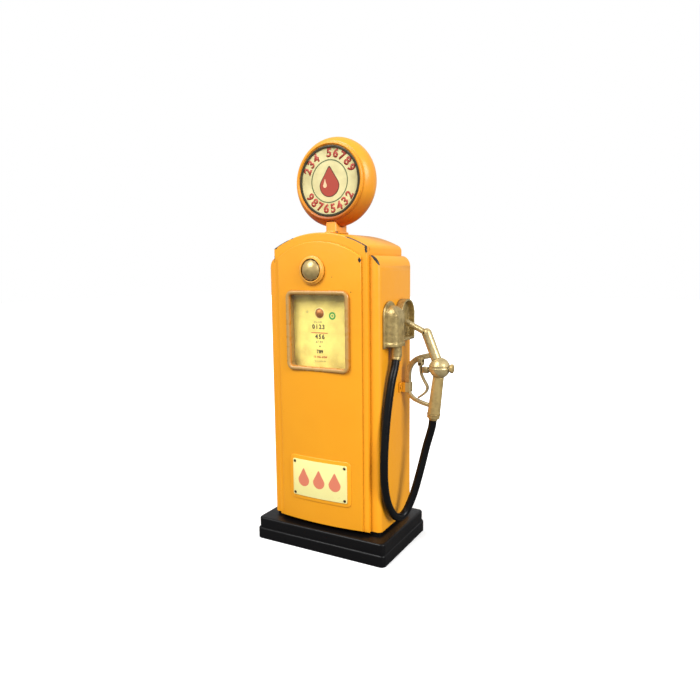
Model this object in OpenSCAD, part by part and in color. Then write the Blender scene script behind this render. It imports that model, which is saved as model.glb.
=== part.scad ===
// Counter-top model of an old fuel pump: a pressed tin cabinet on a stepped base, with a round sign
// on top and a cast delivery nozzle that hangs in a boot on its right-hand side.
// Millimetres, +Z up. The cabinet faces -Y and the nozzle hangs on +X.
// The origin is the middle of the underside of the base.

/* [Cabinet] */
// Width of the cabinet
body_w = 76.6; // [62:0.1:94]
// Depth of the cabinet, without its raised front panels
body_d = 44.5; // [38:0.1:56]
// Height of the cabinet, from its floor to the top of its arched roof
body_h = 177; // [145:0.5:215]
// Width of the narrower roof section
roof_w = 63; // [52:0.1:76]
// Rise of the arched roof over its own width
roof_rise = 8.5; // [6:0.1:14]
// Radius where the roof turns down into its sides
roof_corner_r = 4; // [1:0.1:6]
// Height of the vertical side of the roof section, from the shoulder to the spring of its corner
roof_wall_h = 2.65; // [1:0.05:10]
// Height of the rounded shoulder
shoulder_h = 9.5; // [6:0.1:14]
// Radius of the cabinet's upright edges
edge_r = 2.6; // [1:0.1:4]
// Thickness of the tin sheet
sheet_t = 0.8; // [0.5:0.05:1.2]
// Gap between pieces that are pushed together
fit_gap = 0.05; // [0.02:0.01:0.1]
// Width of the folded rim that a sheet is fastened to
rim_w = 4; // [3:0.1:6]

/* [Base] */
// How far the base stands out at each side of the cabinet
ledge_side = 7.2; // [5:0.1:14]
// How far the base stands out in front of the cabinet
ledge_front = 10.65; // [9:0.05:20]
// How far the base stands out behind the cabinet
ledge_back = 6.35; // [4:0.05:14]
// Height of the lower step, from the ground
lower_step_h = 7.4; // [5:0.1:12]
// Height of the upper step
upper_step_h = 6.6; // [4:0.1:12]
// How far the upper step stands in from the lower one
step_inset = 0.75; // [0.4:0.05:3]
// Radius of the base's upright corners
base_corner_r = 3; // [2:0.1:6]
// Thickness of the base's pressed walls
base_t = 1; // [0.8:0.1:1.6]
// Height of the dark riser between the base and the cabinet
riser_h = 2; // [1.5:0.1:6]
// How far the riser stands in under the cabinet
riser_inset = 0.8; // [0.4:0.1:3]
// Thickness of the closing plate under the base
plate_t = 1.2; // [1:0.1:2]
// Height of the lower step's rim above the ground
rim_lift = 0.4; // [0.2:0.1:0.8]

/* [Front panels] */
// Width of the outer front panel
outer_panel_w = 63.8; // [56:0.1:72]
// How far the outer front panel stands out of the cabinet
outer_panel_out = 3.1; // [2:0.1:5]
// Width of the inner front panel
inner_panel_w = 57.1; // [50:0.1:60]
// Height of the inner panel's crest below the roof
inner_panel_drop = 5.2; // [3.5:0.1:12]
// Rise of the inner panel's arched top over its own width
inner_panel_rise = 9.3; // [6:0.1:14]
// How far the inner panel's edges stand out of the outer panel
inner_panel_out = 1.2; // [0.8:0.1:3]
// How far the middle of the inner panel bows out beyond its edges
inner_panel_bow = 2.1; // [1:0.1:4]

/* [Dial window] */
// Width of the window's frame
bezel_w = 43.4; // [38:0.1:48]
// Height of the window's frame
bezel_h = 48.2; // [40:0.1:56]
// Width of the frame's bar
bezel_bar = 2.8; // [2.4:0.1:4]
// How far the frame stands out of the middle of the inner panel
bezel_out = 0.9; // [0.6:0.1:2]
// Outer corner radius of the frame
bezel_r = 4.4; // [3.5:0.1:6]
// Height of the top of the frame below the roof
bezel_drop = 33.4; // [32:0.1:44]
// Depth of the dial card behind the front of the frame
dial_depth = 6.3; // [5:0.1:7]
// Thickness of the clear lens
lens_t = 0.8; // [0.5:0.1:1.2]
// Thickness of the printed cards and plates
card_t = 0.4; // [0.3:0.05:0.8]
// Radius of the domed button on the dial card
button_r = 2.9; // [2:0.1:4]
// Height of the domed button above the bottom of the frame
button_up = 34.5; // [28:0.1:38]
// Distance of the button's centre to the left of the middle
button_left = 1; // [0:0.1:3]

/* [Lamp and sign plate] */
// Radius of the ring round the lamp dome
lamp_ring_r = 8.4; // [7:0.1:9.5]
// Radius of the lamp dome
lamp_r = 6.4; // [5:0.1:7]
// Height of the lamp's centre below the roof
lamp_drop = 21.7; // [20:0.1:23]
// Distance of the lamp's centre to the left of the middle
lamp_left = 2.4; // [0:0.1:4]
// Width of the sign plate
sign_w = 38.2; // [30:0.1:42]
// Height of the sign plate
sign_h = 23; // [16:0.1:30]
// Height of the sign plate's lower edge above the cabinet's floor
sign_up = 16.9; // [10:0.1:24]
// Width of the pressed border round the sign plate
sign_border = 2.5; // [1.5:0.1:4]
// How far the pressed border stands out of the inner panel
sign_border_out = 0.5; // [0.3:0.1:1]
// Distance of each rivet from the sign plate's edges
rivet_in = 1.5; // [1.3:0.1:3]

/* [Round sign] */
// Outer radius of the round sign
globe_r = 26.5; // [22:0.1:30]
// Thickness of the round sign, over both its rings
globe_t = 17.4; // [14:0.1:22]
// Depth that each ring stands out of the sign's case
globe_ring_out = 1.5; // [1:0.1:3]
// Visible radius of each printed dial, inside its ring
globe_dial_r = 20.8; // [17:0.1:24]
// Wall of the sign's case
globe_wall = 1; // [0.8:0.1:1.6]
// Height of the neck at its middle
neck_h = 4; // [3:0.1:10]
// Width of the neck
neck_w = 7.5; // [6:0.1:10]
// Depth of the neck, front to back
neck_d = 14.6; // [11:0.1:16]
// Distance of the sign's centre plane in front of the base's middle
globe_forward = 2; // [0:0.1:5]

/* [Castings on the side] */
// Height of the castings' lower edge below the roof
casting_drop = 67; // [60:0.5:75]
// Overall height of the outlet casting
casting_h = 27; // [22:0.1:32]
// Thickness of the castings' back plates
casting_t = 1.2; // [1:0.1:2]
// Half the width of the outlet casting's back plate
outlet_half_w = 8.4; // [7.5:0.1:9]
// Distance of the outlet casting's middle in front of the base's middle
outlet_forward = 8.4; // [8:0.1:10]
// Half the width of the hood on the outlet casting
hood_half_w = 6.5; // [5.5:0.1:7]
// How far the hood stands out of the cabinet
hood_out = 8; // [6:0.1:9]
// Height of the hood's straight walls
hood_wall_h = 13.5; // [10:0.1:16]
// Half the width of the nozzle boot
boot_half_w = 9.3; // [8:0.1:11]
// How far the nozzle boot's rim stands out of the cabinet
boot_out = 4.7; // [4:0.1:8]
// Wall of the nozzle boot
boot_wall = 1.1; // [0.9:0.1:1.6]
// Radius of the outlet nipple
nipple_r = 3.1; // [2.8:0.1:3.6]
// Length of the outlet nipple below the casting
nipple_l = 6; // [4:0.1:10]

/* [Nozzle] */
// Distance of the valve's centre from the side of the cabinet
valve_reach = 24.5; // [22:0.1:30]
// Height of the valve's centre below the castings' lower edge
valve_drop = 13.2; // [12:0.1:16]
// Distance of the nozzle behind the base's middle
nozzle_back = 10; // [9:0.1:11]
// Radius of the valve's round body
valve_r = 6.2; // [5.5:0.1:7]
// Length of the sleeve, from the valve's centre to the elbow
sleeve_l = 22.1; // [20:0.1:26]
// Lean of the sleeve from upright
sleeve_lean = 22; // [18:0.5:26]
// Radius of the sleeve
sleeve_r = 3; // [2.4:0.1:3.2]
// Length of the spout, from the elbow to its mouth
spout_l = 15.2; // [14:0.1:16]
// Lean of the spout from upright
spout_lean = 65; // [60:1:75]
// Outer radius of the spout
spout_r = 1.75; // [1.3:0.05:1.8]
// Bore radius of the spout
spout_bore_r = 1.1; // [0.7:0.05:1.1]
// Length of the grip, from the valve's centre to its lower end
grip_l = 31; // [28:0.1:34]
// Lean of the grip from upright
grip_lean = 7; // [5:0.5:9]
// Radius of the grip under the valve
grip_top_r = 3.1; // [2.8:0.1:3.4]
// Radius of the grip at its lower end
grip_end_r = 3.75; // [3.5:0.05:4.2]
// Width of the guard's flat bar
guard_w = 2.6; // [2:0.1:3.2]
// Width of the trigger's strip
trigger_w = 2.4; // [1.6:0.1:2.4]
// Thickness of the trigger's strip
trigger_t = 1.1; // [0.9:0.05:1.3]
// Radius of the trigger's pin
trigger_pin_r = 0.6; // [0.5:0.05:0.7]

/* [Hose] */
// Outer diameter of the hose
hose_d = 4.8; // [4:0.1:5.4]

/* [Hidden] */
$fn = 72;
over = 1; // how far a cutting shape runs past what it cuts
paint = "#f5aa37";
black = "#1d1c1a";
gold = "#b39a63";
steel = "silver";
cream = "#f3e6a0";

// Places that follow from the driving dimensions
base_w = body_w + 2*ledge_side;
base_d = body_d + ledge_front + ledge_back;
front_y = ledge_front - base_d/2;
back_y = front_y + body_d;
side_x = body_w/2;
base_top_z = lower_step_h + upper_step_h;
floor_z = base_top_z + riser_h;
top_z = floor_z + body_h;
panel_y = front_y - outer_panel_out;
crown_y = panel_y - inner_panel_out - inner_panel_bow;
crown_r = arch_radius(inner_panel_w, inner_panel_bow);
roof_r = arch_radius(roof_w, roof_rise);
roof_spring_z = top_z - roof_r + sqrt(pow(roof_r - roof_corner_r, 2) - pow(roof_w/2 - roof_corner_r, 2));
shoulder_z = roof_spring_z - roof_wall_h - shoulder_h;
bezel_top_z = top_z - bezel_drop;
bezel_z = bezel_top_z - bezel_h/2;
bezel_y = crown_y - bezel_out;
card_y = bezel_y + dial_depth;
lamp_z = top_z - lamp_drop;
sign_z = floor_z + sign_up + sign_h/2;
globe_y = -globe_forward;
globe_z = top_z + neck_h + globe_r;
casting_z = top_z - casting_drop;
outlet_y = -outlet_forward;
boot_y = outlet_y + outlet_half_w + boot_half_w + fit_gap;
nozzle_y = nozzle_back;
valve_at = [side_x + valve_reach, nozzle_y, casting_z - valve_drop];

// The small fastenings
screw_r = 1;
screw_head_r = 1.9;
screw_head_h = 1.1;
screw_dome_r = 2.5;
slot_w = 0.5;
slot_d = 0.5;
post_r = 2.6;
post_in = 1;
bolt_r = 1.25;
bolt_head_r = 2.4;
bolt_head_h = 1.6;
bolt_x = body_w/4;
nut_r = 2.6;
nut_h = 2;
thread_out = 1;
rivet_r = 0.9;
rivet_dome_r = 1.1;
stud_r = 1.5;
stud_nut_r = 3;
stud_out = 1.5;

// Fineness of the drawn arcs
corner_steps = 5;
arch_steps = 24;
shoulder_steps = 12;

// Small corners of the front panels
outer_panel_r = 0.8;
inner_panel_r = 1.6;
inner_panel_lift = 0.6;

// Route of the hose's middle line, from the collar under the outlet to the nozzle's ferrule
hose_route = [
    [42.7, -8.3, 118.5], [42.6, -9.9, 114], [42.2, -13, 106.5], [41.8, -16, 96],
    [41.4, -18.4, 84], [41.2, -20.2, 72], [41.2, -21.4, 60], [41.2, -21.2, 49.5],
    [41.3, -19.2, 39.5], [41.8, -15.6, 31], [42.8, -10.8, 24.6], [44.2, -5.6, 22.1],
    [45.9, -1.4, 24], [47.7, 1.3, 29.2], [49.6, 3.4, 36], [51.4, 5.4, 44.5],
    [53.2, 7.4, 54], [55, 9, 63.5], [57, 9.9, 71.5], [58.3, 10, 76.5], [58.8, 10, 80.5],
];

// Radius of an arc that rises by the given height over the given width
function arch_radius(width, rise) = (width*width/4 + rise*rise)/(2*rise);

// Points along an arc of an ellipse
function arc(at, rx, ry, from, to, steps) =
    [for (i = [0:steps]) let (a = from + (to - from)*i/steps) at + [rx*cos(a), ry*sin(a)]];

// Points over an arched top, from its right side to its left one, with rounded corners
function arched_top(half, crest, r, corner) =
    let (rise = sqrt(pow(r - corner, 2) - pow(half - corner, 2)),
         turn = atan2(rise, half - corner),
         spring = crest - r + rise)
    concat(arc([half - corner, spring], corner, corner, 0, turn, corner_steps),
           arc([0, crest - r], r, r, turn, 180 - turn, arch_steps),
           arc([corner - half, spring], corner, corner, 180 - turn, 180, corner_steps));

// Outline of a panel with straight sides and an arched top, drawn in by an inset
function panel_outline(width, foot, crest, r, corner, inset) =
    concat([[inset - width/2, foot + inset], [width/2 - inset, foot + inset]],
           arched_top(width/2 - inset, crest - inset, r - inset, max(corner - inset, 0.2)));

function outer_outline(inset) =
    panel_outline(outer_panel_w, floor_z, top_z, roof_r, outer_panel_r, inset);
function inner_outline(inset) =
    panel_outline(inner_panel_w, floor_z + inner_panel_lift, top_z - inner_panel_drop,
                  arch_radius(inner_panel_w, inner_panel_rise), inner_panel_r, inset);

// Outline of the cabinet: straight sides, rounded shoulders and the arched roof
function cabinet_outline(inset) =
    let (half = body_w/2 - inset, roof = roof_w/2 - inset, rx = (body_w - roof_w)/2)
    concat([[-half, floor_z + inset], [half, floor_z + inset]],
           arc([roof, shoulder_z], rx, shoulder_h - inset, 0, 90, shoulder_steps),
           arched_top(roof, top_z - inset, roof_r - inset, max(roof_corner_r - inset, 0.5)),
           arc([-roof, shoulder_z], rx, shoulder_h - inset, 90, 180, shoulder_steps));

// A smooth curve through a list of points
function curve_point(a, b, c, d, t) =
    0.5*(2*b + (c - a)*t + (2*a - 5*b + 4*c - d)*t*t + (3*b - a - 3*c + d)*t*t*t);
function smooth(p, steps) =
    let (last = len(p) - 1)
    [for (i = [0:last - 1], k = [0:steps - 1])
        curve_point(p[max(i - 1, 0)], p[i], p[i + 1], p[min(i + 2, last)], k/steps),
     p[last]];

function unit(v) = v/norm(v);
function heading(p, i) = unit(p[min(i + 1, len(p) - 1)] - p[max(i - 1, 0)]);

// Outline of a bar of even thickness along a flat curve
function bar_outline(p, t) =
    let (last = len(p) - 1,
         side = [for (i = [0:last]) let (h = heading(p, i)) [-h.y, h.x]*t/2])
    concat([for (i = [0:last]) p[i] + side[i]], [for (i = [last:-1:0]) p[i] - side[i]]);

// Puts children whose local Z is forward, X is right and Y is up at a place on the front
module facing_front(y, z, x = 0) {
    translate([x, y, z])
        rotate([90, 0, 0])
            children();
}

// Puts children drawn in the Y-Z plane, whose local Z is outwards, on the right-hand side
module facing_right(x) {
    translate([x, 0, 0])
        rotate([90, 0, 90])
            children();
}

// Stands an X-Z outline up between two planes across Y
module front_slab(outline, from_y, to_y) {
    translate([0, to_y, 0])
        rotate([90, 0, 0])
            linear_extrude(to_y - from_y)
                polygon(outline);
}

module rounded_rect(w, h, r) {
    square([w - 2*r, h], center = true);
    square([w, h - 2*r], center = true);
    for (x = [-1, 1], y = [-1, 1])
        translate([x*(w/2 - r), y*(h/2 - r)])
            circle(r);
}

// A block with rounded upright edges
module upright_block(w, y0, y1, z0, z1, r) {
    translate([0, (y0 + y1)/2, z0])
        linear_extrude(z1 - z0)
            rounded_rect(w, y1 - y0, r);
}

// Everything behind the bowed face of the inner panel, moved out by a distance
module behind_crown(out = 0) {
    translate([0, crown_y + crown_r, 0])
        cylinder(r = crown_r + out, h = top_z, $fn = 720);
}

module hex_nut(r, h, bore) {
    difference() {
        cylinder(r = r, h = h, $fn = 6);
        translate([0, 0, -over])
            cylinder(r = bore, h = h + 2*over);
    }
}

// A pan-head screw that stands on its head's seat, with its shank going down
module screw(shank) {
    translate([0, 0, -shank])
        cylinder(r = screw_r, h = shank);
    difference() {
        intersection() {
            cylinder(r = screw_head_r, h = screw_head_h);
            translate([0, 0, screw_head_h - screw_dome_r])
                sphere(r = screw_dome_r);
        }
        translate([-screw_head_r, -slot_w/2, screw_head_h - slot_d])
            cube([2*screw_head_r, slot_w, over]);
    }
}

module at_corners(x, y) {
    for (sx = [-1, 1], sy = [-1, 1])
        translate([sx*x, sy*y, 0])
            children();
}

// Base: a stepped plinth of two pressed pans, closed from below by a plate
plate_gap = 0.15;
plate_w = base_w - 2*base_t - 2*plate_gap;
plate_d = base_d - 2*base_t - 2*plate_gap;
post_x = base_w/2 - base_t - post_r - post_in;
post_y = base_d/2 - base_t - post_r - post_in;
sunk_top_z = 0.6;
sunk_head_z = 0.1;
sunk_slot_d = 0.35;

module base_plate() {
    color(black)
        difference() {
            linear_extrude(plate_t)
                rounded_rect(plate_w, plate_d, base_corner_r - base_t);
            at_corners(post_x, post_y)
                union() {
                    translate([0, 0, -over])
                        cylinder(r = screw_r + fit_gap, h = plate_t + 2*over);
                    translate([0, 0, -over])
                        cylinder(r = screw_head_r + fit_gap, h = over + sunk_top_z);
                }
        }
}

module base_screws() {
    color(steel)
        at_corners(post_x, post_y)
            difference() {
                union() {
                    translate([0, 0, sunk_head_z])
                        cylinder(r = screw_head_r, h = sunk_top_z - sunk_head_z);
                    translate([0, 0, sunk_head_z])
                        cylinder(r = screw_r, h = lower_step_h - base_t - sunk_top_z + sunk_head_z);
                }
                translate([-screw_head_r, -slot_w/2, 0])
                    cube([2*screw_head_r, slot_w, sunk_slot_d]);
            }
}

// A pressed pan, open below, with rounded corners
module pan(w, d, z0, z1, r) {
    difference() {
        upright_block(w, -d/2, d/2, z0, z1, r);
        upright_block(w - 2*base_t, base_t - d/2, d/2 - base_t, z0 - over, z1 - base_t, r - base_t);
    }
}

module lower_step() {
    color(black)
        difference() {
            union() {
                pan(base_w, base_d, rim_lift, lower_step_h, base_corner_r);
                at_corners(post_x, post_y)
                    translate([0, 0, plate_t])
                        cylinder(r = post_r, h = lower_step_h - plate_t - base_t/2);
            }
            at_corners(post_x, post_y)
                cylinder(r = screw_r + fit_gap, h = lower_step_h - base_t);
            bolt_holes();
        }
}

module upper_step() {
    color(black)
        difference() {
            pan(base_w - 2*step_inset, base_d - 2*step_inset, lower_step_h, base_top_z, base_corner_r);
            bolt_holes();
        }
}

module riser() {
    color(black)
        difference() {
            upright_block(body_w - 2*riser_inset, front_y + riser_inset, back_y - riser_inset,
                          base_top_z, floor_z, edge_r - riser_inset/2);
            upright_block(body_w - 2*rim_w, front_y + rim_w, back_y - rim_w,
                          base_top_z - over, floor_z + over, edge_r);
        }
}

// Two bolts tie the cabinet's floor down to the base
bolt_y = (front_y + back_y)/2;
bolt_foot_z = lower_step_h - base_t;

module at_bolts() {
    for (side = [-1, 1])
        translate([side*bolt_x, bolt_y, 0])
            children();
}

module bolt_holes() {
    at_bolts()
        cylinder(r = bolt_r + fit_gap, h = floor_z + 3*sheet_t);
}

module tie_bolts() {
    color(steel)
        at_bolts()
            union() {
                translate([0, 0, bolt_foot_z - bolt_head_h])
                    cylinder(r = bolt_head_r, h = bolt_head_h, $fn = 6);
                translate([0, 0, bolt_foot_z])
                    cylinder(r = bolt_r, h = floor_z + 2*sheet_t + nut_h + thread_out - bolt_foot_z);
            }
}

module tie_nuts() {
    color(steel)
        at_bolts()
            translate([0, 0, floor_z + 2*sheet_t])
                hex_nut(nut_r, nut_h, bolt_r + fit_gap);
}

// Cabinet: one sheet wrapped round sides, shoulders and roof, with a folded front, back rim and floor rim
module cabinet_solid(inset, y0, y1) {
    intersection() {
        front_slab(cabinet_outline(inset), y0, y1);
        union() {
            upright_block(body_w - 2*inset, y0, y1, floor_z - over, shoulder_z + shoulder_h, edge_r);
            upright_block(roof_w - 2*inset, y0, y1, floor_z - over, top_z + over, edge_r);
        }
    }
}

floor_corner_r = 1.6;

module body_floor() {
    color(steel)
        difference() {
            upright_block(body_w - 2*sheet_t - 2*fit_gap, front_y + sheet_t + fit_gap,
                          back_y - 2*sheet_t - fit_gap, floor_z + sheet_t, floor_z + 2*sheet_t,
                          floor_corner_r);
            bolt_holes();
        }
}

module body_shell() {
    color(paint)
        difference() {
            cabinet_solid(0, front_y, back_y);
            front_slab(cabinet_outline(sheet_t), front_y + sheet_t, back_y - 2*sheet_t);
            front_slab(cabinet_outline(sheet_t), back_y - sheet_t, back_y + over);
            front_slab(cabinet_outline(rim_w), front_y + sheet_t, back_y + over);
            front_slab(outer_outline(rim_w), front_y - over, front_y + 2*sheet_t);
            upright_block(body_w - 2*rim_w, front_y + rim_w, back_y - rim_w,
                          floor_z - over, floor_z + 2*sheet_t, edge_r);
            at_back_screws(2*rim_w)
                cylinder(r = screw_r + fit_gap, h = 4*rim_w);
            translate([0, globe_y, top_z - 2*rim_w])
                cylinder(r = stud_r + fit_gap, h = 3*rim_w);
            at_casting_screws(-over)
                cylinder(r = screw_r + fit_gap, h = 2*rim_w);
            at_clip_rivets(-over)
                cylinder(r = rivet_r + fit_gap, h = 2*rim_w);
        }
}

// Back of the cabinet: a flat sheet let into the wrap and screwed to its folded rim
module at_back_screws(depth) {
    for (side = [-1, 1], z = [floor_z + rim_w, (floor_z + shoulder_z)/2, shoulder_z - 2])
        translate([side*(side_x - sheet_t - rim_w/2), back_y - sheet_t/4 + depth, z])
            rotate([90, 0, 0])
                children();
}

module back_sheet() {
    color(paint)
        difference() {
            front_slab(cabinet_outline(sheet_t + 0.15), back_y - sheet_t + fit_gap, back_y - sheet_t/4);
            at_back_screws(2*rim_w)
                cylinder(r = screw_r + fit_gap, h = 4*rim_w);
        }
}

module back_screws() {
    color(steel)
        at_back_screws(0)
            rotate([180, 0, 0])
                screw(3);
}

// Front: a raised arched pan, with a second bowed pan on it that carries the window and the plate
module outer_panel() {
    color(paint)
        difference() {
            front_slab(outer_outline(0), panel_y, front_y);
            front_slab(outer_outline(sheet_t), panel_y + sheet_t, front_y + over);
            front_slab(inner_outline(rim_w - 1), panel_y - over, front_y);
        }
}

housing_lap = 1.3;
housing_w = bezel_w - 2*bezel_bar + 2*housing_lap;
housing_h = bezel_h - 2*bezel_bar + 2*housing_lap;
housing_r = bezel_r - bezel_bar + housing_lap;
sign_border_r = 3.2;

module inner_panel() {
    color(paint)
        difference() {
            union() {
                intersection() {
                    front_slab(inner_outline(0), crown_y - over, panel_y);
                    behind_crown();
                }
                intersection() {
                    facing_front(panel_y, sign_z)
                        linear_extrude(panel_y - crown_y + over)
                            rounded_rect(sign_w + 2*sign_border, sign_h + 2*sign_border, sign_border_r);
                    behind_crown(sign_border_out);
                }
            }
            intersection() {
                front_slab(inner_outline(sheet_t), crown_y, panel_y + over);
                behind_crown(-sheet_t);
            }
            facing_front(panel_y, bezel_z)
                linear_extrude(panel_y - crown_y + over)
                    rounded_rect(housing_w + 2*fit_gap, housing_h + 2*fit_gap, housing_r);
            facing_front(panel_y, lamp_z, -lamp_left)
                cylinder(r = lamp_stud_r + fit_gap, h = panel_y - crown_y + over);
            at_sign_rivets()
                translate([0, 0, -2*over])
                    cylinder(r = rivet_r/2 + fit_gap, h = panel_y - crown_y + 3*over);
        }
}

// Window: a pressed housing behind the panel, with the printed card, the lens and the frame
module dial_housing() {
    color("#6b5a35")
        intersection() {
            behind_crown();
            difference() {
                facing_front(card_y + card_t + sheet_t, bezel_z)
                    linear_extrude(card_y + card_t + sheet_t - bezel_y)
                        rounded_rect(housing_w, housing_h, housing_r);
                facing_front(card_y + card_t, bezel_z)
                    linear_extrude(card_y + card_t - bezel_y + over)
                        rounded_rect(housing_w - 2*sheet_t, housing_h - 2*sheet_t, housing_r - sheet_t/2);
            }
        }
}

sheet_gap = 0.1;

module window_sheet(gap) {
    rounded_rect(housing_w - 2*sheet_t - 2*gap, housing_h - 2*sheet_t - 2*gap, housing_r - sheet_t/2);
}

module dial_card() {
    color(cream)
        facing_front(card_y + card_t, bezel_z)
            linear_extrude(card_t)
                window_sheet(sheet_gap);
}

button_lip = 0.5;
button_h = 1.7;
button_dome_r = button_r + 0.4;

module dial_button() {
    color("#c0703a")
        facing_front(card_y, bezel_z - bezel_h/2 + button_up, -button_left)
            union() {
                cylinder(r = button_r, h = button_lip);
                intersection() {
                    cylinder(r = button_r - button_lip, h = button_h);
                    translate([0, 0, button_h - button_dome_r])
                        sphere(r = button_dome_r);
                }
            }
}

// The lens lies behind the bowed panel, with a little air at its upright edges
lens_air = 0.2;
lens_y = crown_y + pow(housing_w/2, 2)/(2*crown_r) + lens_t + lens_air;
bezel_inner_r = bezel_r - bezel_bar + 0.6;

module dial_lens() {
    color("white", 0.35)
        facing_front(lens_y, bezel_z)
            linear_extrude(lens_t)
                window_sheet(sheet_gap);
}

module dial_bezel() {
    color("#e6b765")
        difference() {
            facing_front(crown_y + inner_panel_bow, bezel_z)
                linear_extrude(crown_y + inner_panel_bow - bezel_y)
                    difference() {
                        rounded_rect(bezel_w, bezel_h, bezel_r);
                        rounded_rect(bezel_w - 2*bezel_bar, bezel_h - 2*bezel_bar, bezel_inner_r);
                    }
            behind_crown(fit_gap);
        }
}

// Lamp: a domed stud in a turned ring, held by a nut behind the panel
lamp_stud_r = 1.6;
lamp_stud_l = 6;
lamp_stud_z = 5.2;
lamp_out = 2.3;
lamp_fit = 0.1;
lamp_cove_r = 1.3;
lamp_dome_h = 4.6;
lamp_dome_r = 1.25*lamp_r;
lamp_nut_r = 3;

module lamp_ring() {
    color(paint)
        difference() {
            facing_front(crown_y + over, lamp_z, -lamp_left)
                rotate_extrude()
                    difference() {
                        translate([lamp_r + lamp_fit, 0])
                            square([lamp_ring_r - lamp_r - lamp_fit, lamp_out + over]);
                        translate([lamp_ring_r + lamp_fit, lamp_out + lamp_cove_r])
                            circle(r = lamp_cove_r);
                    }
            behind_crown(fit_gap);
        }
}

module lamp_dome() {
    color(gold)
        union() {
            difference() {
                facing_front(crown_y, lamp_z, -lamp_left)
                    intersection() {
                        cylinder(r = lamp_r, h = lamp_dome_h);
                        translate([0, 0, lamp_dome_h - lamp_dome_r])
                            sphere(r = lamp_dome_r);
                    }
                behind_crown(fit_gap);
            }
            facing_front(crown_y + lamp_stud_z, lamp_z, -lamp_left)
                cylinder(r = lamp_stud_r, h = lamp_stud_l);
        }
}

module lamp_nut() {
    color(steel)
        facing_front(crown_y + sheet_t + nut_h + lamp_fit, lamp_z, -lamp_left)
            hex_nut(lamp_nut_r, nut_h, lamp_stud_r + fit_gap);
}

// Sign plate: a thin enamelled plate on the pressed border, with a rivet at each corner
module at_sign_rivets() {
    for (sx = [-1, 1], sz = [-1, 1])
        translate([sx*(sign_w/2 - rivet_in), 0, sz*(sign_h/2 - rivet_in)])
            facing_front(panel_y, sign_z)
                children();
}

sign_corner_r = 0.7;
sign_rivet_l = 2.2;

module sign_plate() {
    color(cream)
        difference() {
            intersection() {
                facing_front(panel_y, sign_z)
                    linear_extrude(panel_y - crown_y + 2*over)
                        rounded_rect(sign_w, sign_h, sign_corner_r);
                behind_crown(sign_border_out + fit_gap + card_t);
            }
            behind_crown(sign_border_out + fit_gap);
            at_sign_rivets()
                cylinder(r = rivet_r/2 + fit_gap, h = panel_y - crown_y + 3*over);
        }
}

module sign_rivets() {
    rivet_face = panel_y - crown_y - pow(sign_w/2 - rivet_in, 2)/(2*crown_r)
        + sign_border_out + card_t + 3*fit_gap;
    color("#3a2a16")
        at_sign_rivets()
            union() {
                translate([0, 0, rivet_face - sign_rivet_l])
                    cylinder(r = rivet_r/2, h = sign_rivet_l);
                translate([0, 0, rivet_face])
                    intersection() {
                        cylinder(r = rivet_r, h = rivet_r/2);
                        translate([0, 0, rivet_r/2 - rivet_dome_r])
                            sphere(r = rivet_dome_r);
                    }
            }
}

// Round sign: a drum with a bellied rim, and on each side a printed dial, a lip ring and a dark retainer
case_half_t = globe_t/2 - globe_ring_out;
belly = 3.3;
belly_r = (case_half_t*case_half_t + belly*belly)/(2*belly);
case_edge_r = globe_r - belly;
dial_seat_r = case_edge_r - 1.2;
case_mouth_r = globe_dial_r - 0.4;
case_lip = 2.6;
ring_bead_r = 0.7;
ring_r = case_edge_r - 0.3;
retainer_w = 1.5;
retainer_h = 0.5;
retainer_gap = 0.1;

module belly_profile(r) {
    intersection() {
        union() {
            translate([globe_r - belly_r, 0])
                circle(r);
            translate([0, -r])
                square([globe_r - belly_r, 2*r]);
        }
        translate([0, -case_half_t])
            square([globe_r + over, 2*case_half_t]);
    }
}

module drum(r) {
    facing_front(globe_y, globe_z)
        rotate_extrude()
            belly_profile(r);
}

module globe_case() {
    color(paint)
        difference() {
            drum(belly_r);
            facing_front(globe_y, globe_z)
                rotate_extrude()
                    difference() {
                        belly_profile(belly_r - globe_wall);
                        translate([0, -case_half_t - over])
                            square([case_mouth_r - case_lip, over]);
                    }
            facing_front(globe_y + globe_t, globe_z)
                cylinder(r = case_mouth_r, h = 2*globe_t);
            translate([0, globe_y, top_z])
                cylinder(r = stud_r + fit_gap, h = neck_h + 2*globe_wall + over);
        }
}

// Puts children whose local Z points out of the sign on its front face, or on its rear one
module at_dial(side) {
    translate([0, globe_y - side*case_half_t, globe_z])
        rotate([90*side, 0, 0])
            children();
}

module dial_disc(side) {
    at_dial(side)
        cylinder(r = dial_seat_r, h = card_t);
}

module lip_ring(side) {
    at_dial(side)
        rotate_extrude()
            difference() {
                union() {
                    translate([globe_dial_r, 0])
                        square([ring_r - globe_dial_r, globe_ring_out - ring_bead_r]);
                    translate([(globe_dial_r + ring_r)/2, globe_ring_out - ring_bead_r])
                        circle(r = ring_bead_r);
                }
                translate([0, -over])
                    square([dial_seat_r + fit_gap, over + card_t + fit_gap]);
            }
}

module retainer(side) {
    at_dial(side)
        rotate_extrude()
            translate([globe_dial_r - retainer_w - retainer_gap, card_t])
                square([retainer_w, retainer_h]);
}

module globe_front_dial() {
    color(cream)
        dial_disc(1);
}

module globe_rear_dial() {
    color(cream)
        dial_disc(-1);
}

module globe_front_ring() {
    color(paint)
        lip_ring(1);
}

module globe_rear_ring() {
    color(paint)
        lip_ring(-1);
}

module globe_front_retainer() {
    color("#4a4420")
        retainer(1);
}

module globe_rear_retainer() {
    color("#4a4420")
        retainer(-1);
}

// Neck: a cast block with a foot that follows the roof, clamped by a threaded stud and two nuts
neck_corner_r = 2;
foot_corner_r = 3;
foot_side = 1.2;
foot_end = 1;
foot_h = 1.1;
roof_dip = 2;

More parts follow.
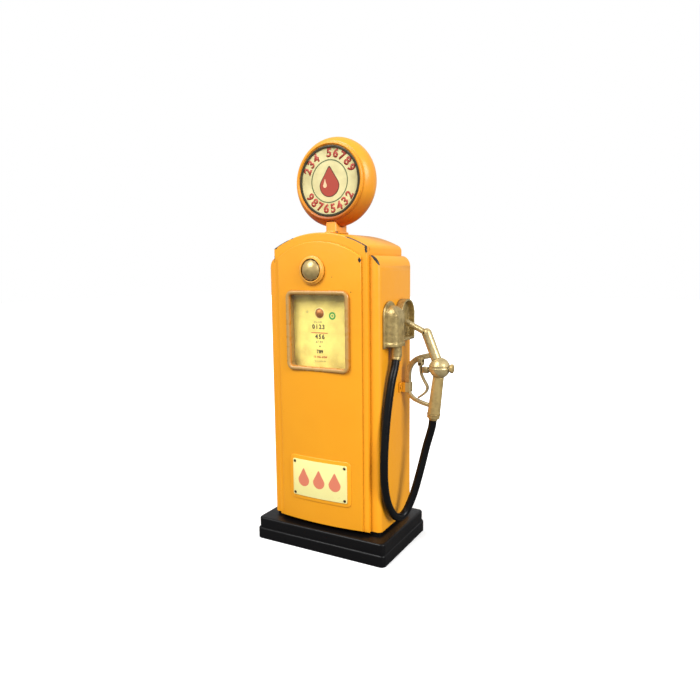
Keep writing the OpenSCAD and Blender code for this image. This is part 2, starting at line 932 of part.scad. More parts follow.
module globe_neck() {
    color(paint)
        difference() {
            union() {
                upright_block(neck_w, globe_y - neck_d/2, globe_y + neck_d/2,
                              top_z - roof_dip, top_z + neck_h + 3*over, neck_corner_r);
                upright_block(neck_w + 2*foot_side, globe_y - neck_d/2 - foot_end,
                              globe_y + neck_d/2 + foot_end, top_z - roof_dip, top_z + foot_h,
                              foot_corner_r);
            }
            front_slab(cabinet_outline(0), front_y - over, back_y + over);
            drum(belly_r);
            translate([0, globe_y, top_z - roof_dip - over])
                cylinder(r = stud_r + fit_gap, h = roof_dip + neck_h + 6*over);
        }
}

stud_low_z = top_z - sheet_t - nut_h - stud_out;
stud_high_z = top_z + neck_h + globe_wall + nut_h + stud_out;
nut_air = 0.2;

module globe_stud() {
    color(steel)
        translate([0, globe_y, stud_low_z])
            cylinder(r = stud_r, h = stud_high_z - stud_low_z);
}

module globe_nuts() {
    color(steel)
        for (z = [top_z - sheet_t - nut_h - nut_air, stud_high_z - nut_h - thread_out])
            translate([0, globe_y, z])
                hex_nut(stud_nut_r, nut_h, stud_r + fit_gap);
}

// Side castings: an arched back plate with a hooded outlet, and an open boot for the spout
module arched_plate(y, half, z0, z1) {
    translate([y, z1 - half])
        circle(half);
    translate([y - half, z0])
        square([2*half, z1 - half - z0]);
}

hood_z = casting_z + 3;
hood_spring_z = hood_z + hood_wall_h;
hood_dome_h = 8.5;
hood_top_z = hood_spring_z + hood_dome_h;
hood_corner_r = 3.3;
hood_lip = 0.5;
hood_lip_h = 2;

module outlet_casting() {
    color(gold)
        difference() {
            union() {
                facing_right(side_x)
                    linear_extrude(casting_t)
                        arched_plate(outlet_y, outlet_half_w, casting_z, casting_z + casting_h);
                intersection() {
                    facing_right(side_x)
                        linear_extrude(hood_out)
                            arched_plate(outlet_y, hood_half_w, hood_z - over, hood_top_z);
                    translate([0, outlet_y + hood_half_w, 0])
                        rotate([90, 0, 0])
                            linear_extrude(2*hood_half_w)
                                polygon(concat(
                                    [[side_x, hood_z - over], [side_x + hood_out, hood_z - over]],
                                    arc([side_x, hood_spring_z], hood_out, hood_dome_h,
                                        0, 90, shoulder_steps)));
                    translate([side_x + hood_out/2 - 2*over, outlet_y, hood_z - over])
                        linear_extrude(casting_h)
                            rounded_rect(hood_out + 4*over, 2*hood_half_w, hood_corner_r);
                }
                translate([side_x + (hood_out + hood_lip)/2 - 2*over, outlet_y, hood_z - hood_lip_h])
                    linear_extrude(hood_lip_h)
                        rounded_rect(hood_out + hood_lip + 4*over, 2*hood_half_w + 2*hood_lip,
                                     hood_corner_r + hood_lip);
            }
            translate([side_x - 4*over, outlet_y - 2*hood_half_w, casting_z - over])
                cube([4*over, 4*hood_half_w, casting_h + 2*over]);
            at_casting_screws(-over)
                cylinder(r = screw_r + fit_gap, h = casting_screw_l);
        }
}

boot_z = casting_z + 3.6;
boot_top_z = casting_z + casting_h + 0.5;
boot_lip = 0.8;
boot_lip_h = 1.6;
boot_lip_in = 2;

module nozzle_boot() {
    color(gold)
        difference() {
            union() {
                facing_right(side_x)
                    linear_extrude(boot_out)
                        arched_plate(boot_y, boot_half_w, boot_z, boot_top_z);
                facing_right(side_x)
                    linear_extrude(boot_out + boot_lip)
                        translate([boot_y - boot_half_w + boot_lip_in, boot_z + over - boot_lip_h])
                            square([2*boot_half_w - 2*boot_lip_in, boot_lip_h]);
            }
            facing_right(side_x + casting_t)
                linear_extrude(boot_out + over)
                    arched_plate(boot_y, boot_half_w - boot_wall, boot_z + boot_wall,
                                 boot_top_z - boot_wall);
            at_casting_screws(-over)
                cylinder(r = screw_r + fit_gap, h = casting_t + 2*over);
        }
}

// Two screws hold each casting, put in from inside the cabinet or through the boot's back
screw_low = 3.5;
screw_high = 4.5;
casting_screw_l = 4.2;

module at_casting_screws(depth) {
    for (at = [[outlet_y, hood_z + screw_low], [outlet_y, hood_spring_z],
               [boot_y, boot_z + screw_low], [boot_y, boot_top_z - screw_high]])
        facing_right(side_x - sheet_t + depth)
            translate(at)
                children();
}

module casting_screws() {
    color(steel)
        at_casting_screws(0)
            rotate([180, 0, 0])
                screw(sheet_t + casting_t);
}

nipple_x = side_x + casting_t + nipple_r + 2*fit_gap;
nipple_y = outlet_y + 1;
nipple_z = hood_z - hood_lip_h;

module outlet_nipple() {
    color(gold)
        translate([nipple_x, nipple_y, nipple_z - nipple_l])
            cylinder(r = nipple_r, h = nipple_l);
}

collar_lean = 17;
hose_collar_r = 3;
hose_collar_h = 4;
hose_collar_low = 2.5;

module hose_collar() {
    color(gold)
        difference() {
            translate([nipple_x, nipple_y, nipple_z - nipple_l])
                rotate([-collar_lean, 0, 0])
                    translate([0, 0, -hose_collar_low])
                        cylinder(r1 = hose_d/2 + 0.4, r2 = hose_collar_r, h = hose_collar_h);
            translate([nipple_x - 2*nipple_r, nipple_y - 2*nipple_r, nipple_z - nipple_l])
                cube(4*nipple_r);
        }
}

// Clip: a folded fork on the side of the cabinet that holds the guard's upright bar
clip_z = valve_at.z - 13.3;
clip_h = 6;
clip_w = 10;
clip_out = 6.2;
clip_gap = guard_w + 0.3;
clip_rivet_r = rivet_r + 0.3;
clip_rivet_h = 0.4;

module guard_clip() {
    color(paint)
        difference() {
            union() {
                facing_right(side_x)
                    linear_extrude(sheet_t)
                        translate([nozzle_y, clip_z])
                            square([clip_w, clip_h], center = true);
                for (side = [-1, 1])
                    translate([side_x, nozzle_y + side*(clip_gap + sheet_t)/2 - sheet_t/2,
                               clip_z - clip_h/2])
                        cube([clip_out, sheet_t, clip_h]);
            }
            at_clip_rivets(-over)
                cylinder(r = rivet_r + fit_gap, h = 3*over);
        }
}

module at_clip_rivets(depth) {
    for (side = [-1, 1])
        facing_right(side_x - sheet_t + depth)
            translate([nozzle_y + side*(clip_gap/2 + sheet_t + clip_rivet_r + fit_gap), clip_z])
                children();
}

module clip_rivets() {
    color(paint)
        at_clip_rivets(0)
            union() {
                translate([0, 0, -clip_rivet_h])
                    cylinder(r = rivet_r, h = 2*sheet_t + clip_rivet_h + fit_gap);
                translate([0, 0, 2*sheet_t + fit_gap])
                    cylinder(r = clip_rivet_r, h = clip_rivet_h);
            }
}

// Hose: one tube swept along its route, a ring of points at every step
hose_path = smooth(hose_route, 2);
hose_sides = 10;

module hose() {
    rings = len(hose_path);
    points = [for (i = [0:rings - 1])
        let (along = heading(hose_path, i),
             across = unit(cross(along, [1, 0, 0.2])),
             up = cross(across, along))
        for (k = [0:hose_sides - 1])
            let (a = 360*k/hose_sides)
            hose_path[i] + hose_d/2*(cos(a)*across + sin(a)*up)];
    skin = [for (i = [0:rings - 2], k = [0:hose_sides - 1])
        let (n = (k + 1) % hose_sides)
        [i*hose_sides + k, i*hose_sides + n, (i + 1)*hose_sides + n, (i + 1)*hose_sides + k]];
    first_end = [for (k = [hose_sides - 1:-1:0]) k];
    last_end = [for (k = [0:hose_sides - 1]) (rings - 1)*hose_sides + k];
    color(black)
        polyhedron(points, concat(skin, [first_end, last_end]), convexity = 6);
}

// Nozzle: everything below is placed from the centre of the valve
elbow = [-sleeve_l*sin(sleeve_lean), 0, sleeve_l*cos(sleeve_lean)];

module at_valve() {
    translate(valve_at)
        children();
}

module spout_rod(r, from, to) {
    translate(elbow)
        rotate([0, -spout_lean, 0])
            translate([0, 0, from])
                cylinder(r = r, h = to - from);
}

module spout_tube() {
    color(gold)
        at_valve()
            difference() {
                spout_rod(spout_r, 0, spout_l);
                spout_rod(spout_bore_r, 1, spout_l + over);
                elbow_pin(fit_gap);
            }
}

module spout_sleeve() {
    color(gold)
        at_valve()
            difference() {
                rotate([0, -sleeve_lean, 0])
                    rotate_extrude()
                        intersection() {
                            union() {
                                square([sleeve_r, sleeve_l]);
                                translate([0, sleeve_l])
                                    circle(r = sleeve_r);
                            }
                            square([sleeve_r + over, sleeve_l + sleeve_r + over]);
                        }
                sphere(r = valve_r + fit_gap);
                spout_rod(spout_r + fit_gap, 0, spout_l);
                elbow_pin(fit_gap);
            }
}

elbow_pin_r = 0.45;
elbow_pin_at = [-0.9, 0, 0.4];
elbow_pin_out = 0.1;

module elbow_pin(gap) {
    translate(elbow + elbow_pin_at)
        rotate([90, 0, 0])
            cylinder(r = elbow_pin_r + gap, h = 2*(sleeve_r + elbow_pin_out), center = true);
}

module spout_pin() {
    color("#2b2418")
        at_valve()
            elbow_pin(0);
}

stem_z = -1.8;
stem_r = 1;
stem_head_w = 3.6;
stem_head_l = 3.7;
stem_in = 3.2;
stem_out = 10.6;
stem_room = 0.6;
band_h = 0.5;
band_out = 0.15;
band_low = -0.6;
band_high = 1.2;
boss_r = 1.7;
boss_l = 0.6;
cap_stud_r = 1.1;
cap_stud_l = 1.4;
cap_r = 2.8;
cap_h = 1.7;
cap_depth = 0.85;

module valve_body() {
    color(gold)
        at_valve()
            difference() {
                union() {
                    sphere(r = valve_r);
                    for (z = [band_low, band_high])
                        translate([0, 0, z])
                            cylinder(r = valve_r + band_out, h = band_h);
                    rotate([0, 90, 0])
                        cylinder(r = boss_r, h = valve_r + boss_l);
                    rotate([0, 90, 0])
                        cylinder(r = cap_stud_r, h = valve_r + cap_stud_l);
                }
                translate([-valve_r - over, 0, stem_z])
                    rotate([0, 90, 0])
                        cylinder(r = stem_r + fit_gap, h = valve_r + over - stem_in + stem_room);
            }
}

module valve_cap() {
    color(gold)
        at_valve()
            translate([valve_r + boss_l + fit_gap, 0, 0])
                rotate([0, 90, 0])
                    difference() {
                        cylinder(r = cap_r, h = cap_h, $fn = 6);
                        translate([0, 0, -over])
                            cylinder(r = cap_stud_r + fit_gap, h = over + cap_depth);
                    }
}

module valve_stem() {
    color(gold)
        at_valve()
            translate([0, 0, stem_z])
                union() {
                    translate([-stem_out, -stem_head_w/2, -stem_head_w/2])
                        cube([stem_head_l, stem_head_w, stem_head_w]);
                    translate([-stem_out, 0, 0])
                        rotate([0, 90, 0])
                            cylinder(r = stem_r, h = stem_out - stem_in);
                }
}

module along_grip(from, to, r1, r2) {
    rotate([0, grip_lean, 0])
        translate([0, 0, -to])
            cylinder(r1 = r2, r2 = r1, h = to - from);
}

collar_l = 2.6;
collar_r = grip_end_r + 0.1;
collar_flange_r = grip_end_r + 0.4;
collar_flange_l = 0.6;
ferrule_l = 1.4;
ferrule_r = hose_d/2 + 0.6;

module grip() {
    color(gold)
        at_valve()
            difference() {
                along_grip(0, grip_l - collar_l, grip_top_r, grip_end_r);
                sphere(r = valve_r + fit_gap);
            }
}

module grip_collar() {
    color(gold)
        at_valve()
            union() {
                along_grip(grip_l - collar_l, grip_l, collar_r, collar_r);
                along_grip(grip_l - collar_l, grip_l - collar_l + collar_flange_l,
                           collar_flange_r, collar_flange_r);
            }
}

module hose_ferrule() {
    color(gold)
        at_valve()
            along_grip(grip_l, grip_l + ferrule_l, ferrule_r, hose_d/2 + 0.2);
}

// The guard's and the trigger's middle lines, in X and Z from the centre of the valve
guard_t = 2;
guard_bow_t = 3;
guard_bow_end = 7;
guard_line = [
    [-4.6, 7.4], [-9, 6.4], [-13.6, 4.9], [-17.2, 2.2], [-19.5, -1.6], [-20.2, -6],
    [-20.2, -11], [-20, -15.2], [-18.8, -18], [-16.4, -20.2], [-12.4, -21.8], [-8.2, -22.9], [-4.4, -23.6],
];
trigger_line = [
    [-11.9, 1.8], [-12, -1.4], [-11.5, -4.6], [-9.8, -8.2], [-8, -11.2], [-7.6, -13],
    [-8.4, -15], [-10.4, -17], [-13.4, -19.2],
];
trigger_pivot = [-11.9, 0, 1.8];
eye_r = 1.35;
ear_t = 0.8;
ear_h = 3.4;
ear_gap = 0.15;
pin_out = 0.2;

module bar_along(line, t, w) {
    translate([0, w/2, 0])
        rotate([90, 0, 0])
            linear_extrude(w)
                polygon(bar_outline(smooth(line, 4), t));
}

module across_pivot(r, w) {
    translate(trigger_pivot)
        rotate([90, 0, 0])
            cylinder(r = r, h = w, center = true);
}

module guard() {
    color(gold)
        at_valve()
            difference() {
                union() {
                    bar_along(guard_line, guard_t, guard_w);
                    bar_along([for (i = [0:guard_bow_end]) guard_line[i]], guard_bow_t, guard_w);
                    for (side = [-1, 1])
                        translate([0, side*(trigger_w/2 + ear_gap + ear_t/2), 0]) {
                            across_pivot(eye_r, ear_t);
                            translate(trigger_pivot + [-eye_r, -ear_t/2, 0])
                                cube([2*eye_r, ear_t, ear_h]);
                        }
                }
                sphere(r = valve_r + fit_gap);
                rotate([0, -sleeve_lean, 0])
                    cylinder(r = sleeve_r + fit_gap, h = sleeve_l);
                along_grip(0, grip_l - collar_l, grip_top_r + fit_gap, grip_end_r + fit_gap);
                across_pivot(trigger_pin_r + fit_gap, 4*trigger_w);
            }
}

module trigger() {
    color(gold)
        at_valve()
            difference() {
                union() {
                    bar_along(trigger_line, trigger_t, trigger_w);
                    across_pivot(eye_r, trigger_w);
                }
                across_pivot(trigger_pin_r + fit_gap, 4*trigger_w);
            }
}

module trigger_pin() {
    color(steel)
        at_valve()
            across_pivot(trigger_pin_r, trigger_w + 2*(ear_t + ear_gap + pin_out));
}

base_plate();
base_screws();
lower_step();
upper_step();
riser();
tie_bolts();
tie_nuts();
body_floor();
body_shell();
back_sheet();
back_screws();
outer_panel();
inner_panel();
dial_housing();
dial_card();
dial_button();
dial_lens();
dial_bezel();
lamp_ring();
lamp_dome();
lamp_nut();
sign_plate();
sign_rivets();
globe_neck();
globe_case();
globe_front_dial();
globe_front_ring();
globe_front_retainer();
globe_rear_dial();
globe_rear_ring();
globe_rear_retainer();
globe_stud();
globe_nuts();
outlet_casting();
nozzle_boot();
casting_screws();
outlet_nipple();
hose_collar();
guard_clip();
clip_rivets();
hose();
hose_ferrule();
spout_tube();
spout_sleeve();
spout_pin();
valve_body();
valve_cap();
valve_stem();
grip();
grip_collar();
guard();
trigger();
trigger_pin();
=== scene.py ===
import math
import bpy
from mathutils import Matrix, Vector


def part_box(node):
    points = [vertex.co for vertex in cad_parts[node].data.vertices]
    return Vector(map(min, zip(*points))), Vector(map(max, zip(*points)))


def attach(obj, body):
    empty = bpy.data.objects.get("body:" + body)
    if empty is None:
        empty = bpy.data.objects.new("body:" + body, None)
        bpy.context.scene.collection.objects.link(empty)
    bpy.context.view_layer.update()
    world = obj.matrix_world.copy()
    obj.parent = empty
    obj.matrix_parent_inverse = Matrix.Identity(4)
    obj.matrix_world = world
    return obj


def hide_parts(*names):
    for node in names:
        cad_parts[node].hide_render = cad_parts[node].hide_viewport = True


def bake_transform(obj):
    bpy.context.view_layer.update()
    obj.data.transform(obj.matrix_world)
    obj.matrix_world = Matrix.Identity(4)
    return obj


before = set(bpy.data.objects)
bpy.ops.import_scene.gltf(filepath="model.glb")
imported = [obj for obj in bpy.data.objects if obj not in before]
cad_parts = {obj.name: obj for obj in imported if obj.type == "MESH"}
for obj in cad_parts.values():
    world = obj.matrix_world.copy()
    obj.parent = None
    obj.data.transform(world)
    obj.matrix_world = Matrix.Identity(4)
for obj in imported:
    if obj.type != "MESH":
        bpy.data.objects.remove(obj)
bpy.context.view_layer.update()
scene = bpy.context.scene

# ---- Camera -----------------------------------------------------------------
# Stands a little right of the pump and just under its round sign, looking
# slightly down, so the front, the right-hand side and the nozzle all show.
camera_at = Vector((0.19184, -0.32957, 0.17232))
camera_turn, camera_tilt, camera_roll = 29.23, 82.36, -0.61
camera_data = bpy.data.cameras.new("camera")
camera_data.sensor_width = 36
camera_data.lens = 31.44
camera_data.clip_start = 0.01
camera = bpy.data.objects.new("camera", camera_data)
scene.collection.objects.link(camera)
camera.matrix_world = (Matrix.Translation(camera_at)
                       @ Matrix.Rotation(math.radians(camera_turn), 4, "Z")
                       @ Matrix.Rotation(math.radians(camera_tilt), 4, "X")
                       @ Matrix.Rotation(math.radians(camera_roll), 4, "Z"))
scene.camera = camera

# ---- Hose -------------------------------------------------------------------
# A limp black rubber tube, 4.8 mm thick, pushed over the collar under the outlet
# and into the ferrule on the grip. It hangs free in one long loop between them.
hose_route = [
    (42.7, -8.3, 118.5), (42.6, -9.9, 114), (42.2, -13, 106.5), (41.8, -16, 96),
    (41.4, -18.4, 84), (41.2, -20.2, 72), (41.2, -21.4, 60), (41.2, -21.2, 49.5),
    (41.3, -19.2, 39.5), (41.8, -15.6, 31), (42.8, -10.8, 24.6), (44.2, -5.6, 22.1),
    (45.9, -1.4, 24), (47.7, 1.3, 29.2), (49.6, 3.4, 36), (51.4, 5.4, 44.5),
    (53.2, 7.4, 54), (55, 9, 63.5), (57, 9.9, 71.5), (58.3, 10, 76.5), (58.8, 10, 80.5),
]
hose_thickness = 0.0048
hose_steps = 8


def between(a, b, c, d, t):
    """A point on the smooth curve from b to c, with a and d as its neighbours."""
    return 0.5*(2*b + (c - a)*t + (2*a - 5*b + 4*c - d)*t*t + (3*b - a - 3*c + d)*t*t*t)


def smooth_line(points, steps):
    """Rounds a route through all its points."""
    last = len(points) - 1
    line = []
    for i in range(last):
        for k in range(steps):
            line.append(between(points[max(i - 1, 0)], points[i], points[i + 1],
                                points[min(i + 2, last)], k/steps))
    return line + [points[last]]


def clear_selection():
    for other in bpy.context.selected_objects:
        other.select_set(False)


def only(piece):
    """Makes this piece the only selected one and the active one."""
    clear_selection()
    piece.select_set(True)
    bpy.context.view_layer.objects.active = piece


def finish_piece(piece, body, slot, material, *nodes):
    """Gives a finished piece its material, its body and the CAD nodes it stands for."""
    piece.data.materials.clear()
    piece.data.materials.append(material)
    if nodes:
        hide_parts(*nodes)
    if body:
        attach(piece, body)
    return piece


def new_material(name, colour, roughness, metallic=0.0):
    """A Principled material with its plain values; returns it with its node tree and shader."""
    material = bpy.data.materials.new(name)
    material.use_nodes = True
    tree = material.node_tree
    shader = tree.nodes["Principled BSDF"]
    shader.inputs["Base Color"].default_value = (*colour, 1)
    shader.inputs["Roughness"].default_value = roughness
    shader.inputs["Metallic"].default_value = metallic
    return material, tree, shader


def node(tree, kind, **values):
    """Adds a shader node and sets its properties, or its inputs by their names."""
    made = tree.nodes.new(kind)
    for key, value in values.items():
        socket = key.replace("_", " ")
        if hasattr(made, key):
            setattr(made, key, value)
        else:
            made.inputs[socket].default_value = value
    return made


def maths(tree, operation, a, b=None, c=None):
    """A Math node on sockets or plain numbers; returns its output."""
    made = tree.nodes.new("ShaderNodeMath")
    made.operation = operation
    for socket, value in zip(made.inputs, (a, b, c)):
        if value is None:
            continue
        if isinstance(value, (int, float)):
            socket.default_value = value
        else:
            tree.links.new(value, socket)
    return made.outputs[0]


def add_noise(tree, place, **values):
    """A Noise Texture that is fixed to the object; returns the node."""
    made = node(tree, "ShaderNodeTexNoise", **values)
    tree.links.new(place.outputs["Object"], made.inputs["Vector"])
    return made


def new_group(name, inputs, outputs):
    """A shader node group with named sockets; returns it with its two end nodes."""
    group = bpy.data.node_groups.new(name, "ShaderNodeTree")
    for label, kind, value in inputs:
        socket = group.interface.new_socket(label, in_out="INPUT", socket_type=kind)
        socket.default_value = value
    for label, kind in outputs:
        group.interface.new_socket(label, in_out="OUTPUT", socket_type=kind)
    return group, group.nodes.new("NodeGroupInput"), group.nodes.new("NodeGroupOutput")


def place_group(tree, group, **values):
    """Puts a node group into a material with its own values."""
    made = tree.nodes.new("ShaderNodeGroup")
    made.node_tree = group
    for key, value in values.items():
        made.inputs[key.replace("_", " ")].default_value = value
    return made


FLOAT, COLOUR, VECTOR = "NodeSocketFloat", "NodeSocketColor", "NodeSocketVector"

# Fine surface grain, shared by every finish: an uneven height and a little change of gloss
grain, grain_in, grain_out = new_group(
    "grain", [("Size", FLOAT, 500.0), ("Strength", FLOAT, 1.0), ("Gloss", FLOAT, 0.4)],
    [("Height", FLOAT), ("Roughness", FLOAT)])
grain_place = grain.nodes.new("ShaderNodeTexCoord")
grain_noise = add_noise(grain, grain_place, Detail=3.0)
grain.links.new(grain_in.outputs["Size"], grain_noise.inputs["Scale"])
grain.links.new(maths(grain, "MULTIPLY", grain_noise.outputs[0], grain_in.outputs["Strength"]),
                grain_out.inputs["Height"])
grain_swing = maths(grain, "MULTIPLY_ADD", grain_noise.outputs[0], 0.16, -0.08)
grain.links.new(maths(grain, "ADD", grain_swing, grain_in.outputs["Gloss"]),
                grain_out.inputs["Roughness"])


def add_grain(tree, shader, size, strength, gloss, depth):
    """Feeds a shader's roughness and normal from the grain group."""
    made = place_group(tree, grain, Size=size, Strength=strength, Gloss=gloss)
    bump = node(tree, "ShaderNodeBump", Strength=1.0, Distance=depth)
    tree.links.new(made.outputs["Height"], bump.inputs["Height"])
    tree.links.new(bump.outputs[0], shader.inputs["Normal"])
    tree.links.new(made.outputs["Roughness"], shader.inputs["Roughness"])
    return bump


hose_rubber, tree, shader = new_material("hose rubber", (0.004, 0.004, 0.0045), 0.3)
shader.inputs["Specular IOR Level"].default_value = 0.18
add_grain(tree, shader, 260.0, 1.0, 0.30, 0.00012)

hose_line = smooth_line([Vector(point)/1000 for point in hose_route], hose_steps)
hose_curve = bpy.data.curves.new("hose", "CURVE")
hose_curve.dimensions = "3D"
hose_curve.bevel_depth = hose_thickness/2
hose_curve.bevel_resolution = 7
hose_curve.use_fill_caps = True
hose_spline = hose_curve.splines.new("POLY")
hose_spline.points.add(len(hose_line) - 1)
for point, place in zip(hose_spline.points, hose_line):
    point.co = (*place, 1)
hose = bpy.data.objects.new("hose_tube", hose_curve)
scene.collection.objects.link(hose)
only(hose)
bpy.ops.object.convert(target="MESH")
bpy.ops.object.shade_smooth()
finish_piece(hose, None, "hose_rubber", hose_rubber, "hose")
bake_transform(hose)

# ---- Studio -----------------------------------------------------------------
# A plain white sweep under soft light: a broad key from high on the front left, a
# weaker one from the right, and an even white surround that fills the shadows.
scene.view_settings.view_transform = "Standard"
surround_seen = 1.0
surround_fill = 0.6
world = bpy.data.worlds.new("surround")
world.use_nodes = True
world_rays = world.node_tree.nodes.new("ShaderNodeLightPath")
world_strength = maths(world.node_tree, "MULTIPLY_ADD", world_rays.outputs["Is Camera Ray"],
                       surround_seen - surround_fill, surround_fill)
world.node_tree.links.new(world_strength, world.node_tree.nodes["Background"].inputs["Strength"])
world.node_tree.nodes["Background"].inputs["Color"].default_value = (1, 1, 1, 1)
scene.world = world


def far_lamp(name, at, strength, softness):
    """A lamp so far off that it lights the floor evenly, aimed from a place at the pump."""
    lamp_data = bpy.data.lights.new(name, "SUN")
    lamp_data.energy = strength
    lamp_data.angle = math.radians(softness)
    lamp = bpy.data.objects.new(name, lamp_data)
    scene.collection.objects.link(lamp)
    lamp.rotation_euler = Vector(at).to_track_quat("Z", "Y").to_euler()


far_lamp("key", (-0.4, -0.85, 0.95), 2.75, 34)
far_lamp("side", (1.0, -0.3, 0.45), 2.3, 28)

floor_paper, tree, shader = new_material("floor paper", (0.93, 0.93, 0.93), 0.9)
floor_rays = tree.nodes.new("ShaderNodeLightPath")


def mix_colour(tree, amount, below, above, blend="MIX"):
    """Lays one colour over another, each a socket or plain values; returns the result."""
    made = node(tree, "ShaderNodeMix", data_type="RGBA", blend_type=blend)
    for socket, value in zip((made.inputs[0], made.inputs[6], made.inputs[7]), (amount, below, above)):
        if isinstance(value, tuple):
            socket.default_value = (*value, 1)
        else:
            tree.links.new(value, socket)
    return made.outputs[2]


floor_lit, floor_seen = (0.16, 0.16, 0.16), (0.97, 0.97, 0.97)
tree.links.new(mix_colour(tree, floor_rays.outputs["Is Camera Ray"], floor_lit, floor_seen),
               shader.inputs["Base Color"])
shader.inputs["Specular IOR Level"].default_value = 0.0
shader.inputs["Emission Color"].default_value = (1, 1, 1, 1)
tree.links.new(maths(tree, "MULTIPLY", floor_rays.outputs["Is Camera Ray"], 0.3),
               shader.inputs["Emission Strength"])
clear_selection()
bpy.ops.mesh.primitive_plane_add(size=6, location=(0, 0, 0))
floor = bpy.context.object
floor.name = "floor"
floor.data.materials.append(floor_paper)

# ---- Base -------------------------------------------------------------------
# Two pressed tin pans, one on the other, in satin black paint with rounded edges,
# closed from below by a flat plate on four screws. A dark riser carries the cabinet.
pan_corner_r = 0.003
pan_edge_r = 0.0011
pan_wall = 0.001
pan_seen_h = 0.0072
pan_rim_r = 0.0004
sheet_fold = 35
hair = 0.00001

base_black, tree, shader = new_material("base black", (0.0028, 0.0026, 0.003), 0.36)
shader.inputs["Specular IOR Level"].default_value = 0.2
add_grain(tree, shader, 340.0, 1.0, 0.36, 0.00006)


def grained_material(name, colour, size, gloss, depth, metallic):
    """A plain finish with the shared grain over it."""
    material, tree, shader = new_material(name, colour, gloss, metallic)
    add_grain(tree, shader, size, 1.0, gloss, depth)
    return material


plain_steel = grained_material("plain steel", (0.55, 0.55, 0.54), 700.0, 0.38, 0.00002, 1.0)


def choose_faces(piece, wanted):
    """Selects the faces whose centre and normal pass, and stays in edit mode."""
    only(piece)
    bpy.ops.object.mode_set(mode="EDIT")
    bpy.ops.mesh.select_mode(type="FACE")
    bpy.ops.mesh.select_all(action="DESELECT")
    bpy.ops.object.mode_set(mode="OBJECT")
    for face in piece.data.polygons:
        face.select = wanted(face.center, face.normal)
    bpy.ops.object.mode_set(mode="EDIT")


def choose_edges(piece, wanted, sharp=0):
    """Selects the edges whose two ends pass and, if sharp is given, that fold by at least that
    many degrees; stays in edit mode."""
    beside = {}
    if sharp:
        for face in piece.data.polygons:
            for key in face.edge_keys:
                beside.setdefault(key, []).append(face.normal.copy())
    folded = {key for key, normals in beside.items()
              if len(normals) == 2 and normals[0].angle(normals[1]) > math.radians(sharp)}
    only(piece)
    bpy.ops.object.mode_set(mode="EDIT")
    bpy.ops.mesh.select_mode(type="EDGE")
    bpy.ops.mesh.select_all(action="DESELECT")
    bpy.ops.object.mode_set(mode="OBJECT")
    corners = piece.data.vertices
    for edge in piece.data.edges:
        edge.select = (wanted(corners[edge.vertices[0]].co, corners[edge.vertices[1]].co)
                       and (not sharp or edge.key in folded))
    bpy.ops.object.mode_set(mode="EDIT")


def stop_edit():
    bpy.ops.object.mode_set(mode="OBJECT")


def round_edges(piece, radius, segments, wanted, sharp=0):
    """Rounds the edges that pass."""
    choose_edges(piece, wanted, sharp)
    bpy.ops.mesh.bevel(offset=radius, segments=segments, affect="EDGES")
    stop_edit()


def cut_out_faces(piece, wanted):
    """Deletes the faces that pass."""
    choose_faces(piece, wanted)
    bpy.ops.mesh.delete(type="FACE")
    stop_edit()


def apply_modifier(piece, kind, **values):
    """Adds a modifier, sets it and applies it."""
    only(piece)
    modifier = piece.modifiers.new(kind.lower(), kind)
    for key, value in values.items():
        setattr(modifier, key, value)
    bpy.ops.object.modifier_apply(modifier=modifier.name)


def smooth_piece(piece, angle=32):
    only(piece)
    bpy.ops.object.shade_smooth_by_angle(angle=math.radians(angle))


def settle():
    """Applies the active piece's place, turn and scale."""
    bpy.ops.object.transform_apply(location=True, rotation=True, scale=True)


def block(name, low, high):
    """A box between two corners, as the start of a piece."""
    low, high = Vector(low), Vector(high)
    clear_selection()
    bpy.ops.mesh.primitive_cube_add(size=1, location=(low + high)/2)
    piece = bpy.context.object
    piece.name = name
    piece.scale = high - low
    settle()
    return piece


def pressed_pan(name, cad_node):
    """A pan with its open side down: rounded corners, a rolled top edge and a thin wall."""
    low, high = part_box(cad_node)
    low.z = max(low.z, high.z - pan_seen_h)
    pan = block(name, low, high)
    cut_out_faces(pan, lambda at, normal: normal.z < -0.9)
    round_edges(pan, pan_corner_r, 8, lambda a, b: abs(a.z - b.z) > 0.001)
    round_edges(pan, pan_edge_r, 4, lambda a, b: min(a.z, b.z) > high.z - hair)
    round_edges(pan, pan_rim_r, 2, lambda a, b: max(a.z, b.z) < low.z + hair)
    apply_modifier(pan, "SOLIDIFY", thickness=pan_wall, offset=-1)
    smooth_piece(pan)
    return finish_piece(pan, "cabinet", "base_black", base_black, cad_node)


pressed_pan("base_lower_pan", "lower_step")
pressed_pan("base_upper_pan", "upper_step")


def paint_node(material, *names):
    """Gives CAD nodes that keep their own shape a material."""
    for name in names:
        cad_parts[name].data.materials.clear()
        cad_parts[name].data.materials.append(material)


paint_node(base_black, "base_plate", "riser")
paint_node(plain_steel, "base_screws", "tie_bolts", "tie_nuts")

# ---- Cabinet ----------------------------------------------------------------
# One tin sheet wrapped round the sides, shoulders and arched roof, closed by a flat
# back sheet on screws. Warm yellow-orange paint lies over black primer, which shows
# where an edge is knocked.
paint_colour = (0.93, 0.39, 0.012)
primer_colour = (0.016, 0.012, 0.008)
sheet_edge_r = 0.0007

# A broad, faint unevenness of hand-sprayed colour
sprayed, sprayed_in, sprayed_out = new_group(
    "sprayed colour", [("Colour", COLOUR, (1, 1, 1, 1)), ("Depth", FLOAT, 0.1)],
    [("Colour", COLOUR)])
sprayed_place = sprayed.nodes.new("ShaderNodeTexCoord")
sprayed_noise = add_noise(sprayed, sprayed_place, Scale=38.0, Detail=2.0)
sprayed_thin = maths(sprayed, "MULTIPLY", sprayed_noise.outputs[0], sprayed_in.outputs["Depth"])
sprayed.links.new(mix_colour(sprayed, sprayed_thin, sprayed_in.outputs["Colour"], (0.75, 0.45, 0.2),
                             "MULTIPLY"), sprayed_out.inputs["Colour"])


